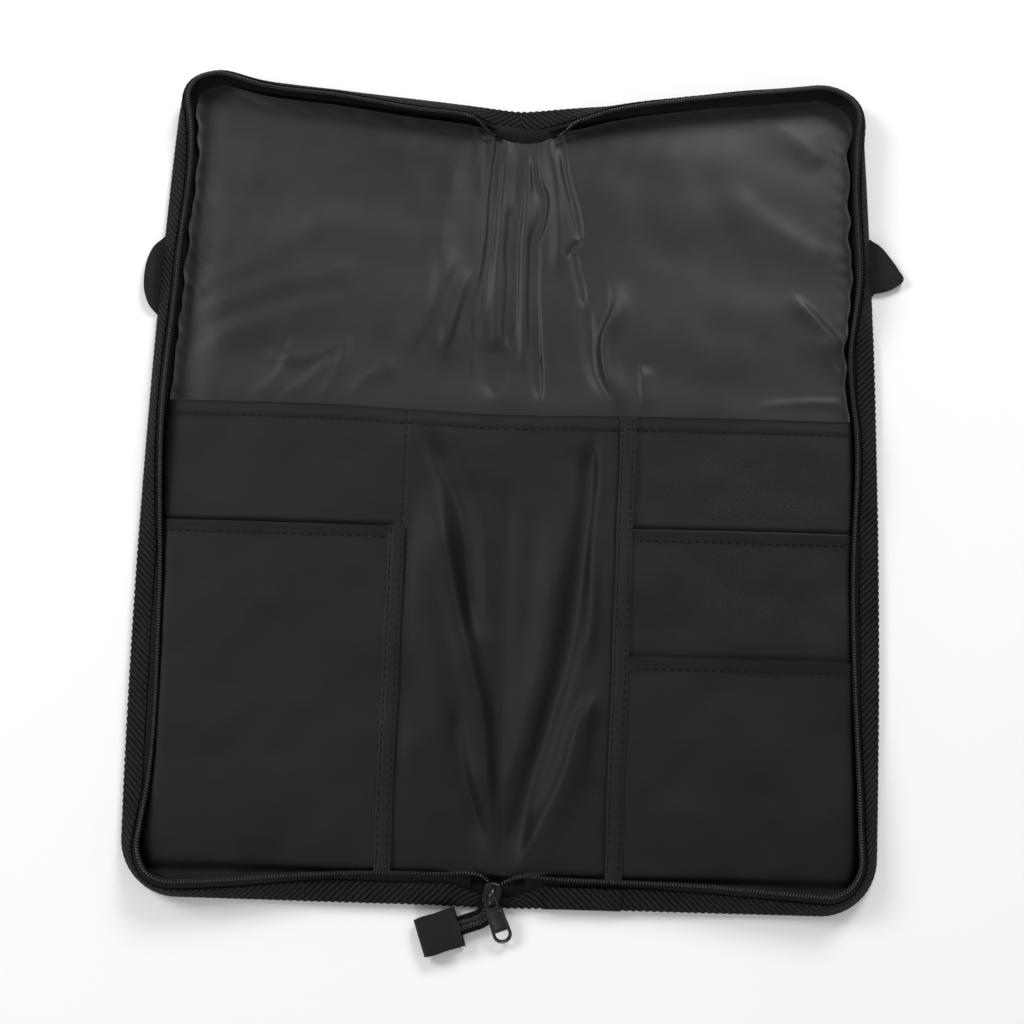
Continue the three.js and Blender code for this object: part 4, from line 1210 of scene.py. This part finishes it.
def handle_strap(name, edge, side):
    """The sewn end of the webbing handle under the panel."""
    half = WEBBING_WIDTH / 2
    cols = np.linspace(-half, half, 21)
    rows = np.linspace(STRAP_INNER_X, 185, 40)
    y, x = np.meshgrid(cols + HANDLE_Y[name], rows)
    z = 0.85 - 0.1 * np.abs((y - HANDLE_Y[name]) / half) ** 4
    grid = np.stack([side * x, y, z], -1)
    strap = Body().add(*cloth(grid, 0.8))
    made = strap.build(f"{name}_webbing_strap", "webbing")
    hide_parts(f"{name}_handle_strap")
    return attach(made, f"{name}_panel")


BIGHT = {
    "left": [(183.5, 129.7), (188.2, 124), (191, 116), (191.8, 107.6), (191.2, 99), (188.4, 92),
             (183.5, 86.7)],
    "right": [(183.2, 139), (188, 135.5), (193.2, 128.5), (197.5, 121.5), (199.9, 117), (195, 112.6),
              (183.2, 109)],
}


def handle_bight(name, edge, side):
    """The part of a webbing handle that shows past the rim: folded back on itself along its outer edge."""
    outer, at = smooth_through(BIGHT[name], 70)
    share = np.linspace(0, 1, 70)
    inner_y = outer[:, 1] + (HANDLE_Y[name] - outer[:, 1]) * 0.12
    inner = np.stack([np.full(70, 179.6), inner_y], -1)
    height = 3.6 * np.sin(math.pi * share) ** 0.7 + 0.6
    if name == "right":
        height = height * (0.65 + 0.2 * np.exp(-((share - 0.45) / 0.25) ** 2))
    grid = []
    for t in np.linspace(0, 1, 9):
        spot = inner * (1 - t) + outer * t
        rise = math.sin(math.pi * min(t, 0.62) / 1.24)
        z = 1.9 + (height - 1.0) * rise * smoothstep(spot[:, 0], 183.6, 187)
        grid.append(np.c_[spot, z])
    top = grid[8][:, 2]
    away = unit(outer - inner)
    for angle in np.linspace(0.25, 0.75, 3) * math.pi:
        bulge = outer + away * 0.5 * math.sin(angle)
        grid.append(np.c_[bulge, 0.35 + (top - 0.35) * (0.5 + 0.5 * math.cos(angle))])
    for t in np.linspace(1, 0, 5):
        grid.append(np.c_[inner * (1 - t) + outer * t, np.full(70, 0.35)])
    grid = np.stack(grid, axis=1)
    width = np.linspace(0, 30, grid.shape[1])
    rest = np.stack(np.broadcast_arrays(width[None, :], at[:, None], 0.0), -1)
    grid[..., 0] *= side
    under = np.concatenate([grid, (grid + inward(grid) * 0.7)[:, ::-1]], axis=1)
    made = Body().add(under, np.concatenate([rest, rest[:, ::-1]], axis=1))
    made = made.build(f"{name}_webbing_bight", "webbing")
    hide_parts(f"{name}_handle_bight")
    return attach(made, f"{name}_handle")


def inward(grid):
    """Directions towards the middle of a folded strip's section."""
    centre = grid.mean(axis=1, keepdims=True)
    normal = np.cross(np.gradient(grid, axis=1), np.gradient(grid, axis=0))
    normal /= np.maximum(np.linalg.norm(normal, axis=-1, keepdims=True), 1e-9)
    towards = ((centre - grid) * normal).sum(-1, keepdims=True)
    return normal * np.sign(np.median(towards) or 1)


def binding_lap():
    """The end of the binding tape, lapped over its beginning with a raw cut end."""
    edge = EDGES["right"]
    above = FIN_LEAF + 0.85
    line = [edge.fin(along + 0 * edge.s, above + 0.2 * math.sin(math.pi * along / 9)) for along in
            np.linspace(BINDING_WIDTH + 0.2, 0.2, 9)]
    line += [edge.fin(-1.9 * math.sin(a), above * math.cos(a)) for a in (0.5, 1.0, 1.5, 2.0)]
    sections, rest = edge.sections([(i + 0 * edge.s, z + 0 * edge.s) for i, z in line], 0.5)
    keep = (edge.round > PERIMETER / 2) & (edge.x <= LAP_END_X) & (edge.x >= 22)
    lap = Body().add(sections[keep], rest[keep])
    rng = np.random.default_rng(11)
    cut = sections[keep][0]
    for _ in range(26):
        base = cut[rng.integers(0, 12)]
        hair = base + np.linspace(0, 1, 5)[:, None] * np.array([rng.uniform(0.5, 1.8), rng.uniform(-0.5, 0.5),
                                                               rng.uniform(-0.2, 0.3)])
        lap.add(wire(hair, 0.06, 4))
    made = lap.build("right_binding_lap_end", "binding")
    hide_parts("right_binding_lap")
    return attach(made, "right_panel")


def top_stay():
    """The smooth tape that closes the top of the spine between the two coil ends."""
    cols = np.linspace(-17, 21, 60)
    rows = np.linspace(0, 1, 9)
    x, t = np.meshgrid(cols, rows)
    y = 197.6 - (9.2 - 0.011 * (x - 2) ** 2) * t + 0.004 * (x - 2) ** 2 * (1 - t)
    z = 2.9 + 1.1 * np.sin(math.pi * t) + 0.25 * np.sin(x / 2.1) * t + 0.006 * (x - 2) ** 2
    grid = np.stack([x, y, z], -1)
    made = Body().add(*cloth(grid, 0.5)).build("top_stay_tape_cloth", "zipper_tape")
    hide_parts("top_stay_tape")
    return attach(made, "spine")


# ---- The whole case ----------------------------------------------------------------------------------------

add_camera()
add_studio()
both(outer_cover)
both(side_wall)
both(lining)
wide = both(main_pocket)
left_cloths = [
    wide["left"],
    front_pocket("left", "front", -LEFT_TAPE_X, LEFT_FRONT_MOUTH_Y, 9.9),
    upright_tape("left_pocket_edge_tape", "left_pocket_tape", "left", LEFT_TAPE_X, LEFT_TAPE_X,
                 LEFT_FRONT_MOUTH_Y + 0.4, 10.4),
]
right_cloths = [
    wide["right"],
    front_pocket("right", "middle", 54.4, RIGHT_MIDDLE_MOUTH_Y, 9.9),
    front_pocket("right", "front", 54.4, RIGHT_FRONT_MOUTH_Y, 10.9),
    upright_tape("right_pocket_edge_tape", "right_pocket_tape", "right", RIGHT_TAPE_TOP_X,
                 RIGHT_TAPE_BOTTOM_X, MOUTH_Y["right"] - 0.6, 11.5),
]
pocket_stitching("left", left_cloths)
pocket_stitching("right", right_cloths)
both(binding)
both(binding_stitching)
both(zipper_tape)
both(zipper_coil)
slider_pieces()
tail_pieces()
both(handle_strap)
both(handle_bight)
binding_lap()
top_stay()
